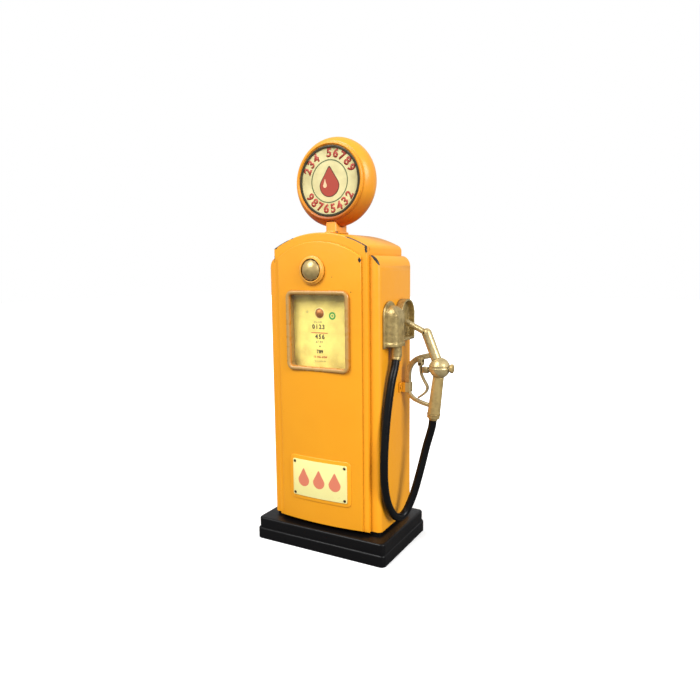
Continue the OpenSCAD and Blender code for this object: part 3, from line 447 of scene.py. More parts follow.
def vector_maths(tree, operation, *sockets):
    """A Vector Math node on sockets; returns the node."""
    made = node(tree, "ShaderNodeVectorMath", operation=operation)
    for socket, value in zip(made.inputs, sockets):
        tree.links.new(value, socket)
    return made


# A knock in the paint: a ragged spot round a place, flattened or stretched by its size
knock, knock_in, knock_out = new_group(
    "paint knock", [("Place", VECTOR, (0, 0, 0)), ("Size", VECTOR, (0.002, 0.002, 0.002)),
                    ("Ragged", FLOAT, 0.5)], [("Mask", FLOAT)])
knock_place = knock.nodes.new("ShaderNodeTexCoord")
knock_noise = add_noise(knock, knock_place, Scale=900.0, Detail=3.0)
knock_shift = vector_maths(knock, "SUBTRACT", knock_place.outputs["Object"], knock_in.outputs["Place"])
knock_scale = vector_maths(knock, "DIVIDE", knock_shift.outputs[0], knock_in.outputs["Size"])
knock_far = vector_maths(knock, "LENGTH", knock_scale.outputs[0])
knock_rag = maths(knock, "MULTIPLY", maths(knock, "SUBTRACT", knock_noise.outputs[0], 0.5),
                  knock_in.outputs["Ragged"])
knock.links.new(maths(knock, "LESS_THAN",
                      maths(knock, "MULTIPLY_ADD", knock_rag, 4.0, knock_far.outputs["Value"]), 1.0),
                knock_out.inputs["Mask"])

# Rubbed line along an arch in the X-Z plane: broken, and only between two distances from the middle
rubbed, rubbed_in, rubbed_out = new_group(
    "rubbed arch", [("Middle", FLOAT, 0.13), ("Radius", FLOAT, 0.06), ("Width", FLOAT, 0.0004),
                    ("From", FLOAT, 0.015), ("To", FLOAT, 0.03), ("Cover", FLOAT, 0.5)],
    [("Mask", FLOAT)])
rubbed_place = rubbed.nodes.new("ShaderNodeTexCoord")
rubbed_axes = rubbed.nodes.new("ShaderNodeSeparateXYZ")
rubbed.links.new(rubbed_place.outputs["Object"], rubbed_axes.inputs[0])
rubbed_x = maths(rubbed, "ABSOLUTE", rubbed_axes.outputs[0])
rubbed_z = maths(rubbed, "SUBTRACT", rubbed_axes.outputs[2], rubbed_in.outputs["Middle"])
rubbed_r = maths(rubbed, "SQRT", maths(rubbed, "ADD", maths(rubbed, "MULTIPLY", rubbed_x, rubbed_x),
                                       maths(rubbed, "MULTIPLY", rubbed_z, rubbed_z)))
rubbed_off = maths(rubbed, "ABSOLUTE", maths(rubbed, "SUBTRACT", rubbed_r, rubbed_in.outputs["Radius"]))
rubbed_noise = add_noise(rubbed, rubbed_place, Scale=260.0, Detail=4.0)
rubbed_on = maths(rubbed, "LESS_THAN", rubbed_noise.outputs[0], rubbed_in.outputs["Cover"])
rubbed_near = maths(rubbed, "LESS_THAN", rubbed_off, rubbed_in.outputs["Width"])
rubbed_span = maths(rubbed, "MULTIPLY",
                    maths(rubbed, "GREATER_THAN", rubbed_x, rubbed_in.outputs["From"]),
                    maths(rubbed, "LESS_THAN", rubbed_x, rubbed_in.outputs["To"]))
rubbed_span = maths(rubbed, "MULTIPLY", rubbed_span, maths(rubbed, "GREATER_THAN", rubbed_z, 0.0))
rubbed.links.new(maths(rubbed, "MULTIPLY", maths(rubbed, "MULTIPLY", rubbed_on, rubbed_near), rubbed_span),
                 rubbed_out.inputs["Mask"])


# Colour of the painted shade in inner corners and creases
crevice_shade_colour = (0.20, 0.045, 0.004)


def paint_crevice_shade(tree, colour, dark, reach, power, most=1.0):
    """Painted shade in the inner corners: mixes a dark colour in where surfaces meet, by ambient occlusion.
    """
    shade = node(tree, "ShaderNodeAmbientOcclusion", samples=6, Distance=reach)
    amount = maths(tree, "MULTIPLY", maths(tree, "POWER", maths(tree, "SUBTRACT", 1.0, shade.outputs["AO"]),
                                           power), most)
    return mix_colour(tree, amount, colour, dark)


def ramp(tree, value, low, high):
    """How far a value has come from one number to another, held between 0 and 1."""
    made = node(tree, "ShaderNodeMapRange", clamp=True, From_Min=low, From_Max=high)
    tree.links.new(value, made.inputs["Value"])
    return made.outputs[0]


def cabinet_finish(name, colour, knocks=(), arches=(), gloss=0.36, band_or_shade=None):
    """Orange paint with its own knocks, each (x, y, z, width, depth, height, ragged), and rubbed
    arches, each (middle, radius, width, from, to, cover), both in millimetres. A band is another
    colour that takes over along an axis: (colour, axis, from, to). On the bezel and the clip it is a
    real second colour; on the round sign it is painted shade on the underside. Painted shade also
    darkens the inner corners."""
    material, tree, shader = new_material(name, colour, gloss)
    coat = place_group(tree, sprayed, Colour=(*colour, 1), Depth=0.22)
    masks = []
    for x, y, z, width, depth, height, ragged in knocks:
        made = place_group(tree, knock, Place=(x/1000, y/1000, z/1000), Ragged=ragged,
                           Size=(width/2000, depth/2000, height/2000))
        masks.append(made.outputs[0])
    for middle, radius, width, start, stop, cover in arches:
        made = place_group(tree, rubbed, Middle=middle/1000, Radius=radius/1000, Width=width/1000,
                           From=start/1000, To=stop/1000, Cover=cover)
        masks.append(made.outputs[0])
    paint = coat.outputs[0]
    # Band of another colour: real two-tone on the bezel and clip, painted shade under the round sign
    if band_or_shade:
        band_or_shade_colour, band_axis, band_from, band_to = band_or_shade
        band_place = tree.nodes.new("ShaderNodeTexCoord")
        band_axes = tree.nodes.new("ShaderNodeSeparateXYZ")
        tree.links.new(band_place.outputs["Object"], band_axes.inputs[0])
        band_or_shade_share = ramp(tree, band_axes.outputs[band_axis], band_from, band_to)
        paint = mix_colour(tree, band_or_shade_share, paint, band_or_shade_colour)
    # Painted shade: the paint darkens into its inner corners and creases
    paint = paint_crevice_shade(tree, paint, crevice_shade_colour, 0.0022, 2.2, 1.6)
    if masks:
        mask = masks[0]
        for other in masks[1:]:
            mask = maths(tree, "MAXIMUM", mask, other)
        paint = mix_colour(tree, mask, paint, primer_colour)
    tree.links.new(paint, shader.inputs["Base Color"])
    add_grain(tree, shader, 220.0, 1.0, gloss, 0.00010)
    return material


knock_x, knock_y, knock_z = 31.5, -19.8, 169.8
knock_reach, knock_rise = 6.8, 9.5
knock_depth, knock_ragged = 2.2, 0.1


def shoulder_knocks(first, last, step, widest):
    """One long knock along the shoulder's front edge, as overlapping spots that taper off."""
    knocks = []
    for angle in range(first, last + 1, step):
        turn = math.radians(angle)
        size = widest*(0.4 + 0.6*math.sin(math.pi*(angle - first)/(last - first)))
        knocks.append((knock_x + knock_reach*math.cos(turn), knock_y, knock_z + knock_rise*math.sin(turn),
                       size, knock_depth, size, knock_ragged))
    return knocks


shell_paint = cabinet_finish("cabinet paint", paint_colour, knocks=shoulder_knocks(26, 76, 5, 2.2))


def cut_across(piece, places, axis):
    """Cuts a piece right through at places along an axis."""
    for place in places:
        only(piece)
        bpy.ops.object.mode_set(mode="EDIT")
        bpy.ops.mesh.select_all(action="SELECT")
        at, direction = Vector(), Vector()
        at[axis], direction[axis] = place, 1
        bpy.ops.mesh.bisect(plane_co=at, plane_no=direction)
        stop_edit()


def both_ways(places):
    return sorted({round(way*place, 7) for place in places for way in (-1, 1)})


shell_low, shell_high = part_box("body_shell")
shell_half = shell_high.x
shell_corner_r = 0.0026
roof_half = 0.0315
roof_top = shell_high.z
roof_r = 0.0626
roof_corner_r = 0.004
roof_middle = roof_top - roof_r
shoulder_h = 0.0095
roof_turn = math.acos((roof_half - roof_corner_r)/(roof_r - roof_corner_r))
roof_spring = roof_middle + (roof_r - roof_corner_r)*math.sin(roof_turn)
shoulder_z = roof_spring - 0.00265 - shoulder_h
shoulder_places = [roof_half + (shell_half - roof_half)*math.cos(math.radians(a)) for a in range(8, 91, 8)]
corner_places = [shell_half - shell_corner_r*(1 - math.cos(math.radians(a))) for a in range(15, 91, 15)]
roof_places = [roof_half - roof_corner_r*(1 - math.cos(roof_turn*k/6)) for k in range(1, 7)]
arch_places = [roof_places[-1]*k/10 for k in range(0, 10)]


def shoulder_height(x):
    if abs(x) <= roof_half:
        return shoulder_z + shoulder_h
    out = min((abs(x) - roof_half)/(shell_half - roof_half), 1)
    return shoulder_z + shoulder_h*math.sqrt(1 - out*out)


def roof_height(x):
    if abs(x) < roof_places[-1]:
        return roof_middle + math.sqrt(roof_r**2 - x**2)
    out = min(max(abs(x) - (roof_half - roof_corner_r), 0), roof_corner_r)
    return roof_spring + math.sqrt(roof_corner_r**2 - out**2)


shell = block("cabinet_shell", shell_low, (shell_high.x, shell_high.y, shoulder_z + shoulder_h))
round_edges(shell, shell_corner_r, 6, lambda a, b: abs(a.z - b.z) > 0.001)
cut_across(shell, both_ways([roof_half] + shoulder_places + corner_places + roof_places + arch_places), 0)
for corner in shell.data.vertices:
    if corner.co.z > shoulder_z:
        corner.co.z = shoulder_height(corner.co.x)
choose_faces(shell, lambda at, normal: normal.z > 0.9 and abs(at.x) < roof_half)
bpy.ops.mesh.extrude_region_move(TRANSFORM_OT_translate={"value": (0, 0, 0.001)})
stop_edit()
for corner in shell.data.vertices:
    if corner.co.z > shoulder_z + shoulder_h + 0.0005:
        corner.co.z = roof_height(corner.co.x)
cut_out_faces(shell, lambda at, normal: normal.z < -0.9 or normal.y > 0.99)
round_edges(shell, sheet_edge_r, 3,
            lambda a, b: min(a.z, b.z) > shoulder_z - hair and max(a.y, b.y) < 0, sharp=sheet_fold)
cut_out_faces(shell, lambda at, normal: normal.y < -0.99 and abs(at.x) < 0.027)
apply_modifier(shell, "SOLIDIFY", thickness=0.0008, offset=-1)
smooth_piece(shell, 34)
finish_piece(shell, "cabinet", "cabinet_paint", shell_paint, "body_shell")
paint_node(shell_paint, "back_sheet")
paint_node(plain_steel, "back_screws", "body_floor")

# ---- Front panels -----------------------------------------------------------
# Two arched tin pans stand on the cabinet's front, a flat one and on it a narrower one
# that bows out. Their pressed edges are soft, and the outer one is rubbed along its arch.
outer_paint = cabinet_finish("outer panel paint", paint_colour, knocks=[
    (31.2, -23.0, 183.0, 1.4, 1.6, 5.0, 0.5),
    (-31.7, -23.0, 178.0, 0.9, 1.2, 6.0, 0.5),
    (-30.6, -23.1, 184.6, 2.4, 1.4, 1.0, 0.5),
], arches=[(130.4, 62.3, 0.28, 17, 31.5, 0.55)])
panel_sheet = 0.0008
panel_cuts = 14
arch_from = 0.18
opening_low, opening_high, opening_half = 0.0196, 0.176, 0.025
outer_low, outer_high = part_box("outer_panel")
outer = block("front_outer_panel", outer_low, outer_high)
cut_across(outer, both_ways([outer_high.x*k/panel_cuts for k in range(panel_cuts)]), 0)
cut_across(outer, (opening_low, opening_high), 2)
for corner in outer.data.vertices:
    if corner.co.z > arch_from:
        corner.co.z = outer_high.z - roof_r + math.sqrt(roof_r**2 - corner.co.x**2)
cut_out_faces(outer, lambda at, normal: normal.y > 0.99)
round_edges(outer, 0.0006, 3, lambda a, b: max(a.y, b.y) < outer_low.y + hair, sharp=sheet_fold)
cut_out_faces(outer, lambda at, normal: normal.y < -0.99 and abs(at.x) < opening_half
              and opening_low < at.z < opening_high)
apply_modifier(outer, "SOLIDIFY", thickness=panel_sheet, offset=-1)
smooth_piece(outer, 34)
finish_piece(outer, "cabinet", "cabinet_paint", outer_paint, "outer_panel")

inner_paint = cabinet_finish("inner panel paint", paint_colour, knocks=[
    (27.7, -24.4, 176.6, 1.6, 1.2, 3.0, 0.6),
    (10.6, -26.3, 167.2, 0.5, 1.0, 0.5, 0.2),
    (22.4, -25.2, 158.6, 0.6, 1.0, 0.5, 0.2),
])
inner_low, inner_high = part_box("inner_panel")
inner_back = -0.0232
crown_y = -0.0265
crown_r = 0.1951
inner_arch_r = 0.04847
window_low, window_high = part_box("dial_housing")


def bowed(x):
    """Y of the inner panel's bowed face at a distance from its middle."""
    return crown_y + x*x/(2*crown_r)


inner = block("front_inner_panel", (inner_low.x, crown_y, inner_low.z),
              (inner_high.x, inner_back, inner_high.z))
cut_across(inner, both_ways([inner_high.x*k/panel_cuts for k in range(panel_cuts)] + [window_high.x]), 0)
cut_across(inner, (window_low.z, window_high.z), 2)
for corner in inner.data.vertices:
    if corner.co.z > arch_from:
        corner.co.z = inner_high.z - inner_arch_r + math.sqrt(inner_arch_r**2 - corner.co.x**2)
    if corner.co.y < inner_back - 0.0001:
        corner.co.y = bowed(corner.co.x)
cut_out_faces(inner, lambda at, normal: normal.y > 0.99)
round_edges(inner, 0.00045, 3, lambda a, b: max(a.y, b.y) < inner_back - 0.0005, sharp=sheet_fold)
cut_out_faces(inner, lambda at, normal: normal.y < -0.9 and abs(at.x) < window_high.x
              and window_low.z < at.z < window_high.z)
apply_modifier(inner, "SOLIDIFY", thickness=panel_sheet, offset=-1)
smooth_piece(inner, 34)
finish_piece(inner, "cabinet", "cabinet_paint", inner_paint, "inner_panel")

# ---- Dial window ------------------------------------------------------------
# A dull gold tin housing let into the panel holds a printed cream card and a copper
# button, behind a clear, slightly wavy sheet. A rounded frame covers the joint.
card_colour = (0.90, 0.74, 0.20)
card_z = 0.1355

housing_gold = grained_material("housing gold", (0.3, 0.17, 0.045), 300.0, 0.45, 0.0001, 0.0)
paint_node(housing_gold, "dial_housing")

# Printed card and dials: soft stain blotches, and darker towards the edges; on the window card and the
# round dials the edge darkening is painted shade
blotch_edge, blotch_edge_in, blotch_edge_out = new_group(
    "aged print", [("Colour", COLOUR, (1, 1, 1, 1)), ("Stain", COLOUR, (0.4, 0.3, 0.1, 1)),
                   ("Middle", VECTOR, (0, 0, 0)), ("Reach", FLOAT, 0.02), ("Depth", FLOAT, 0.6)],
    [("Colour", COLOUR)])
blotch_edge_place = blotch_edge.nodes.new("ShaderNodeTexCoord")
blotch_edge_shift = vector_maths(blotch_edge, "SUBTRACT", blotch_edge_place.outputs["Object"], blotch_edge_in.outputs["Middle"])
blotch_edge_far = vector_maths(blotch_edge, "LENGTH", blotch_edge_shift.outputs[0])
blotch_edge_noise = add_noise(blotch_edge, blotch_edge_place, Scale=130.0, Detail=4.0)
edge_darkening = maths(blotch_edge, "POWER", maths(blotch_edge, "DIVIDE", blotch_edge_far.outputs["Value"],
                                       blotch_edge_in.outputs["Reach"]), 4.0)
blotch_edge_sum = maths(blotch_edge, "MULTIPLY", maths(blotch_edge, "ADD", edge_darkening, blotch_edge_noise.outputs[0]),
                 blotch_edge_in.outputs["Depth"])
blotch_edge_share = maths(blotch_edge, "MULTIPLY", blotch_edge_sum, blotch_edge_noise.outputs[0])
blotch_edge.links.new(mix_colour(blotch_edge, blotch_edge_share, blotch_edge_in.outputs["Colour"], blotch_edge_in.outputs["Stain"]),
               blotch_edge_out.inputs["Colour"])


def printed_finish(name, colour, blotch_edge_colour, middle, reach, depth, gloss):
    material, tree, shader = new_material(name, colour, gloss)
    made = place_group(tree, blotch_edge, Colour=(*colour, 1), Stain=(*blotch_edge_colour, 1), Middle=middle,
                       Reach=reach, Depth=depth)
    tree.links.new(made.outputs[0], shader.inputs["Base Color"])
    add_grain(tree, shader, 260.0, 1.0, gloss, 0.00005)
    return material


# The card darkens towards its edges: painted shade from the deep window round it
card_print = printed_finish("dial card", card_colour, (0.30, 0.17, 0.03), (0, -0.021, card_z),
                            0.0265, 0.75, 0.4)
paint_node(card_print, "dial_card")

ink_black = new_material("black ink", (0.035, 0.03, 0.015), 0.5)[0]
ink_grey = new_material("grey ink", (0.30, 0.25, 0.10), 0.5)[0]
ink_red = new_material("red ink", (0.45, 0.035, 0.02), 0.5)[0]
ink_green = new_material("green ink", (0.05, 0.32, 0.06), 0.5)[0]
ink_pale = new_material("pale ink", (0.93, 0.84, 0.42), 0.5)[0]
ink_t = 0.00006


def joined(name, parts):
    """Joins several meshes into one piece."""
    only(parts[0])
    for part in parts[1:]:
        part.select_set(True)
    if len(parts) > 1:
        bpy.ops.object.join()
    parts[0].name = name
    return parts[0]


def front_digits(text, height, x, z, y, bold=0.0, spread=1.0):
    """Generic digits that stand on a front face, as a thin raised mesh."""
    clear_selection()
    bpy.ops.object.text_add(location=(0, 0, 0))
    line = bpy.context.object
    line.data.body = text
    line.data.size = height/0.7
    line.data.offset = bold
    line.data.space_character = spread
    line.data.align_x = "CENTER"
    line.data.align_y = "CENTER"
    line.data.resolution_u = 3
    bpy.ops.object.convert(target="MESH")
    line = bpy.context.object
    line.matrix_world = Matrix.Translation((x, y, z)) @ Matrix.Rotation(math.radians(90), 4, "X")
    settle()
    return line


def front_bar(width, height, x, z, y):
    """A short printed bar on a front face."""
    clear_selection()
    bpy.ops.mesh.primitive_plane_add(size=1, location=(x, y, z), rotation=(math.radians(90), 0, 0))
    bar = bpy.context.object
    bar.scale = (width, height, 1)
    settle()
    return bar


def front_ring(outer_r, inner_r, x, z, y, sides=40):
    """A printed ring or, with no inner radius, a disc on a front face."""
    clear_selection()
    bpy.ops.mesh.primitive_circle_add(vertices=sides, radius=outer_r, fill_type="NGON",
                                      location=(x, y, z), rotation=(math.radians(90), 0, 0))
    ring = bpy.context.object
    settle()
    if inner_r:
        choose_faces(ring, lambda at, normal: True)
        bpy.ops.mesh.inset(thickness=outer_r - inner_r, depth=0)
        bpy.ops.mesh.delete(type="FACE")
        stop_edit()
    return ring


def print_on(name, parts, material, slot, body="cabinet"):
    """Joins printed marks, gives them the thickness of ink and fixes them to a body."""
    piece = joined(name, parts)
    apply_modifier(piece, "SOLIDIFY", thickness=ink_t, offset=0)
    return finish_piece(piece, body, slot, material)


card_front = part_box("dial_card")[0].y - 0.00004
mm = 0.001


def card_rows(rows):
    """Lines of generic digits on the card, each (text, height, x, z, bold, spread) in millimetres."""
    return [front_digits(text, height*mm, x*mm, z*mm, card_front, bold*mm, spread)
            for text, height, x, z, bold, spread in rows]


print_on("card_digits_black", card_rows([
    ("0123", 2.6, -2.0, 137.6, 0.12, 1.25), ("456", 2.6, -1.1, 131.7, 0.12, 1.25),
    ("789", 2.0, -1.3, 122.7, 0.12, 1.1),
]) + [front_bar(0.8*mm, 0.8*mm, -1.2*mm, 126.0*mm, card_front)], ink_black, "printed_card")
print_on("card_digits_grey", card_rows([
    ("012 345", 1.1, -2.4, 140.5, 0.04, 1.1), ("67 89", 1.3, -1.6, 128.6, 0.04, 1.2),
    ("0 12 3456 78", 0.9, -1.1, 117.0, 0.02, 1.1), ("12", 1.2, -10.0, 146.4, 0.03, 1.1),
]), ink_grey, "printed_card")
print_on("card_lines_red", [front_bar(11.6*mm, 0.45*mm, -1.4*mm, 134.1*mm, card_front)]
         + card_rows([("12 345 6789", 1.2, -1.1, 119.5, 0.04, 1.1)]), ink_red, "printed_card")
print_on("card_green_ring", [
    front_ring(2.3*mm, 1.3*mm, 7.7*mm, 144.5*mm, card_front),
    front_ring(0.6*mm, 0, 7.7*mm, 144.5*mm, card_front, 16),
], ink_green, "printed_card")
print_on("card_halo", [front_ring(3.3*mm, 2.2*mm, -1*mm, 145.9*mm, card_front)],
         ink_pale, "printed_card")


def dressed_copy(cad_node, name, edge_r, segments=3, sharp=28, smooth=32):
    """A merged copy of a CAD node with its sharp edges rounded, as paint or casting rounds them."""
    piece = bpy.data.objects.new(name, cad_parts[cad_node].data.copy())
    scene.collection.objects.link(piece)
    only(piece)
    bpy.ops.object.mode_set(mode="EDIT")
    bpy.ops.mesh.select_all(action="SELECT")
    bpy.ops.mesh.remove_doubles(threshold=0.000002)
    bpy.ops.mesh.tris_convert_to_quads(face_threshold=math.radians(0.2),
                                       shape_threshold=math.radians(180))
    stop_edit()
    if edge_r:
        apply_modifier(piece, "BEVEL", width=edge_r, segments=segments, limit_method="ANGLE",
                       angle_limit=math.radians(sharp), use_clamp_overlap=False)
    smooth_piece(piece, smooth)
    return piece


copper = grained_material("copper button", (0.42, 0.16, 0.045), 500.0, 0.36, 0.00005, 0.55)
button = dressed_copy("dial_button", "dial_copper_button", 0.0002, smooth=50)
finish_piece(button, "cabinet", "copper_button", copper, "dial_button")

# The clear sheet: lamps shine through it, and it keeps its own soft reflections
clear, tree, shader = new_material("clear sheet", (1, 1, 0.97), 0.06)
shader.inputs["Transmission Weight"].default_value = 1.0
shader.inputs["IOR"].default_value = 1.42
clear_rays = tree.nodes.new("ShaderNodeLightPath")
clear_pass = tree.nodes.new("ShaderNodeBsdfTransparent")
clear_mix = tree.nodes.new("ShaderNodeMixShader")
tree.links.new(clear_rays.outputs["Is Shadow Ray"], clear_mix.inputs[0])
tree.links.new(shader.outputs[0], clear_mix.inputs[1])
tree.links.new(clear_pass.outputs[0], clear_mix.inputs[2])
tree.links.new(clear_mix.outputs[0], tree.nodes["Material Output"].inputs[0])
lens_cuts = 12
lens_low, lens_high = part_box("dial_lens")
lens = block("dial_clear_sheet", lens_low, lens_high)
round_edges(lens, 0.0018, 5, lambda a, b: abs(a.y - b.y) > 0.0002)
round_edges(lens, 0.0006, 4, lambda a, b: max(a.y, b.y) < lens_low.y + hair, sharp=sheet_fold)
for step in range(1, lens_cuts):
    share = lens_low.lerp(lens_high, step/lens_cuts)
    cut_across(lens, [share.x], 0)
    cut_across(lens, [share.z], 2)
lens_waves = bpy.data.textures.new("lens waves", "CLOUDS")
lens_waves.noise_scale = 0.012
lens_waves.noise_depth = 0
apply_modifier(lens, "DISPLACE", texture=lens_waves, texture_coords="LOCAL", direction="Y",
               strength=0.0004, mid_level=0.5)
smooth_piece(lens, 40)
finish_piece(lens, "cabinet", "clear_lens", clear, "dial_lens")

bezel_paint = cabinet_finish("bezel paint", (0.56, 0.22, 0.025), gloss=0.28,
                             band_or_shade=((0.48, 0.30, 0.10), 1, -0.0266, -0.0275))
bezel_bar = 0.0028
bezel_corner_r, bezel_round_r = 0.0044, 0.00132
bezel_low, bezel_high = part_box("dial_bezel")
bezel = block("dial_frame", bezel_low, bezel_high)
round_edges(bezel, bezel_corner_r, 8, lambda a, b: abs(a.y - b.y) > 0.001)
choose_faces(bezel, lambda at, normal: abs(normal.y) > 0.9)
bpy.ops.mesh.inset(thickness=bezel_bar, depth=0)
bpy.ops.mesh.bridge_edge_loops()
stop_edit()
round_edges(bezel, bezel_round_r, 6, lambda a, b: max(a.y, b.y) < bezel_low.y + hair, sharp=sheet_fold)
smooth_piece(bezel, 40)
finish_piece(bezel, "cabinet", "bezel_paint", bezel_paint, "dial_bezel")

# ---- Lamp -------------------------------------------------------------------
# A pressed brass-gold dome sits in an orange ring above the window, and a nut on its
# stud holds both from behind the panel.
gold_colour = (0.42, 0.31, 0.12)

# Patina of gold paint on a casting: the paint, brown in its blotches and pits
patina, patina_in, patina_out = new_group(
    "gold patina", [("Gold", COLOUR, (*gold_colour, 1)), ("Brown", COLOUR, (0.09, 0.045, 0.015, 1)),
                    ("Blotch", FLOAT, 220.0), ("Cover", FLOAT, 0.5), ("Gloss", FLOAT, 0.35)],
    [("Colour", COLOUR), ("Roughness", FLOAT), ("Height", FLOAT)])
patina_place = patina.nodes.new("ShaderNodeTexCoord")
patina_blotch = add_noise(patina, patina_place, Detail=5.0, Roughness=0.6)
patina.links.new(patina_in.outputs["Blotch"], patina_blotch.inputs["Scale"])
patina_pits = add_noise(patina, patina_place, Scale=1300.0, Detail=2.0)
patina_brown = maths(patina, "MULTIPLY", ramp(patina, patina_blotch.outputs[0], 0.42, 0.68),
                     patina_in.outputs["Cover"])
patina.links.new(mix_colour(patina, patina_brown, patina_in.outputs["Gold"], patina_in.outputs["Brown"]),
                 patina_out.inputs["Colour"])
patina.links.new(maths(patina, "MULTIPLY_ADD", patina_blotch.outputs[0], 0.25, patina_in.outputs["Gloss"]),
                 patina_out.inputs["Roughness"])
patina.links.new(maths(patina, "MULTIPLY_ADD", patina_pits.outputs[0], 0.3, patina_blotch.outputs[0]),
                 patina_out.inputs["Height"])


def gold_finish(name, colour, blotch, cover, gloss, depth, metallic=0.55):
    material, tree, shader = new_material(name, colour, gloss, metallic)
    made = place_group(tree, patina, Gold=(*colour, 1), Blotch=blotch, Cover=cover, Gloss=gloss)
    bump = node(tree, "ShaderNodeBump", Strength=1.0, Distance=depth)
    # Painted shade: the gold darkens in its hollows and where parts meet, by ambient occlusion
    tree.links.new(paint_crevice_shade(tree, made.outputs["Colour"], (0.06, 0.028, 0.008), 0.0016, 1.6, 1.3),
                   shader.inputs["Base Color"])
    tree.links.new(made.outputs["Roughness"], shader.inputs["Roughness"])
    tree.links.new(made.outputs["Height"], bump.inputs["Height"])
    tree.links.new(bump.outputs[0], shader.inputs["Normal"])
    return material


lamp_gold = gold_finish("lamp gold", (0.60, 0.44, 0.18), 160.0, 0.3, 0.2, 0.00008)
lamp_ring = dressed_copy("lamp_ring", "lamp_ring_turned", 0.00025)
ring_paint = cabinet_finish("lamp ring paint", (0.9, 0.42, 0.05))
finish_piece(lamp_ring, "cabinet", "cabinet_paint", ring_paint, "lamp_ring")
lamp_dome = dressed_copy("lamp_dome", "lamp_dome_pressed", 0.0006, 4, smooth=50)
finish_piece(lamp_dome, "cabinet", "antique_gold", lamp_gold, "lamp_dome")
paint_node(plain_steel, "lamp_nut")

# ---- Sign plate -------------------------------------------------------------
# A thin cream enamelled plate follows the bowed panel on a pressed border. Four dark
# rivets hold it, and three red fuel drops are printed across it.
sign_colour = (0.93, 0.86, 0.36)
sign_enamel = printed_finish("sign enamel", sign_colour, (0.75, 0.55, 0.16), (0, -0.0265, 0.0444),
                             0.028, 0.35, 0.3)
sign_low, sign_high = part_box("sign_plate")
sign_z = (sign_low.z + sign_high.z)/2


def bowed_plate(name, width, height, corner_r, back_out, front_out, edge_r):
    """A plate that follows the bowed panel, between two distances out of it."""
    plate = block(name, (-width/2, crown_y, sign_z - height/2), (width/2, inner_back, sign_z + height/2))
    round_edges(plate, corner_r, 6, lambda a, b: abs(a.y - b.y) > 0.001)
    cut_across(plate, [width*(k/16 - 0.5) for k in range(1, 16)], 0)
    for corner in plate.data.vertices:
        out = front_out if corner.co.y < inner_back - 0.0001 else back_out
        corner.co.y = bowed(corner.co.x) - out
    if edge_r:
        round_edges(plate, edge_r, 3,
                    lambda a, b: max(a.y - bowed(a.x), b.y - bowed(b.x)) < -front_out + hair,
                    sharp=sheet_fold)
    smooth_piece(plate, 34)
    return plate


sign_border = bowed_plate("sign_border", 0.0432, 0.028, 0.0032, -0.0004, 0.0005, 0.0004)
finish_piece(sign_border, "cabinet", "cabinet_paint", inner_paint)
sign = bowed_plate("sign_plate_enamelled", sign_high.x - sign_low.x, sign_high.z - sign_low.z, 0.0007,
                   0.00052, 0.00095, 0.00012)
finish_piece(sign, "cabinet", "sign_enamel", sign_enamel, "sign_plate")
dark_metal = grained_material("dark rivet", (0.05, 0.03, 0.015), 600.0, 0.4, 0.00003, 0.6)
paint_node(dark_metal, "sign_rivets")

sign_red = new_material("faded red print", (0.72, 0.21, 0.12), 0.4)[0]
drop_y = sign_low.y - 0.002


def fuel_drop(name, x, z, width, height, y):
    """A flat drop: a circle with its top drawn up to a point, cut into narrow strips."""
    drop = front_ring(width/2, 0, x, z, y, 48)
    only(drop)
    reach = height - width
    for corner in drop.data.vertices:
        up = (corner.co.z - z)/(width/2)
        if up > 0:
            corner.co.x = x + (corner.co.x - x)*(1 - up*up*0.55)
            corner.co.z += reach*up**3
    cut_across(drop, [x - width/2 + width*step/8 for step in range(1, 8)], 0)
    drop.name = name
    return drop


drops = [fuel_drop("drop", x*mm, 43.2*mm, 8.0*mm, 11.4*mm, drop_y) for x in (-11, 0, 11)]
drop_print = joined("sign_drops", drops)
only(drop_print)
wrap = drop_print.modifiers.new("wrap", "SHRINKWRAP")
wrap.wrap_method = "PROJECT"
wrap.use_project_y = True
wrap.use_negative_direction = True
wrap.use_positive_direction = True
wrap.target = sign
wrap.offset = 0.00004
bpy.ops.object.modifier_apply(modifier="wrap")
apply_modifier(drop_print, "SOLIDIFY", thickness=ink_t, offset=0)
finish_piece(drop_print, "cabinet", "sign_enamel", sign_red)

# ---- Round sign -------------------------------------------------------------
# A drum with a bellied rim stands on a cast neck. Each side has a printed dial under a
# rolled lip, held by a dark brown-green ring. A threaded stud and nuts clamp it down.
globe_y = -0.002
globe_z = 0.2235
# The round sign's paint turns dark red-brown towards the bottom of the drum: painted shade under it
globe_paint_shaded_below = cabinet_finish("round sign paint", (0.93, 0.38, 0.02), gloss=0.34,
                             band_or_shade=((0.34, 0.055, 0.003), 2, 0.217, 0.200))
case = dressed_copy("globe_case", "sign_drum", 0.0004)
finish_piece(case, "cabinet", "cabinet_paint", globe_paint_shaded_below, "globe_case")
neck_paint = cabinet_finish("neck paint", (0.9, 0.36, 0.03), knocks=[
    (4.4, -9.0, 193.8, 2.0, 2.0, 0.9, 0.5)])
neck = dressed_copy("globe_neck", "sign_neck", 0.0005)
finish_piece(neck, "cabinet", "cabinet_paint", neck_paint, "globe_neck")
paint_node(plain_steel, "globe_stud", "globe_nuts")

dial_colour, dial_blotch_edge_colour = (0.94, 0.86, 0.45), (0.30, 0.21, 0.04)
dial_out = 0.008
layer_gap = 1.3*ink_t
olive = grained_material("dark olive", (0.035, 0.028, 0.006), 400.0, 0.42, 0.0002, 0.0)
ring_print = new_material("faded green print", (0.10, 0.14, 0.05), 0.5)[0]
sign_print_red = new_material("brown red print", (0.45, 0.06, 0.035), 0.45)[0]
emblem_edge = new_material("emblem edge", (0.10, 0.035, 0.015), 0.5)[0]
emblem_light = new_material("emblem light", (0.90, 0.62, 0.36), 0.45)[0]

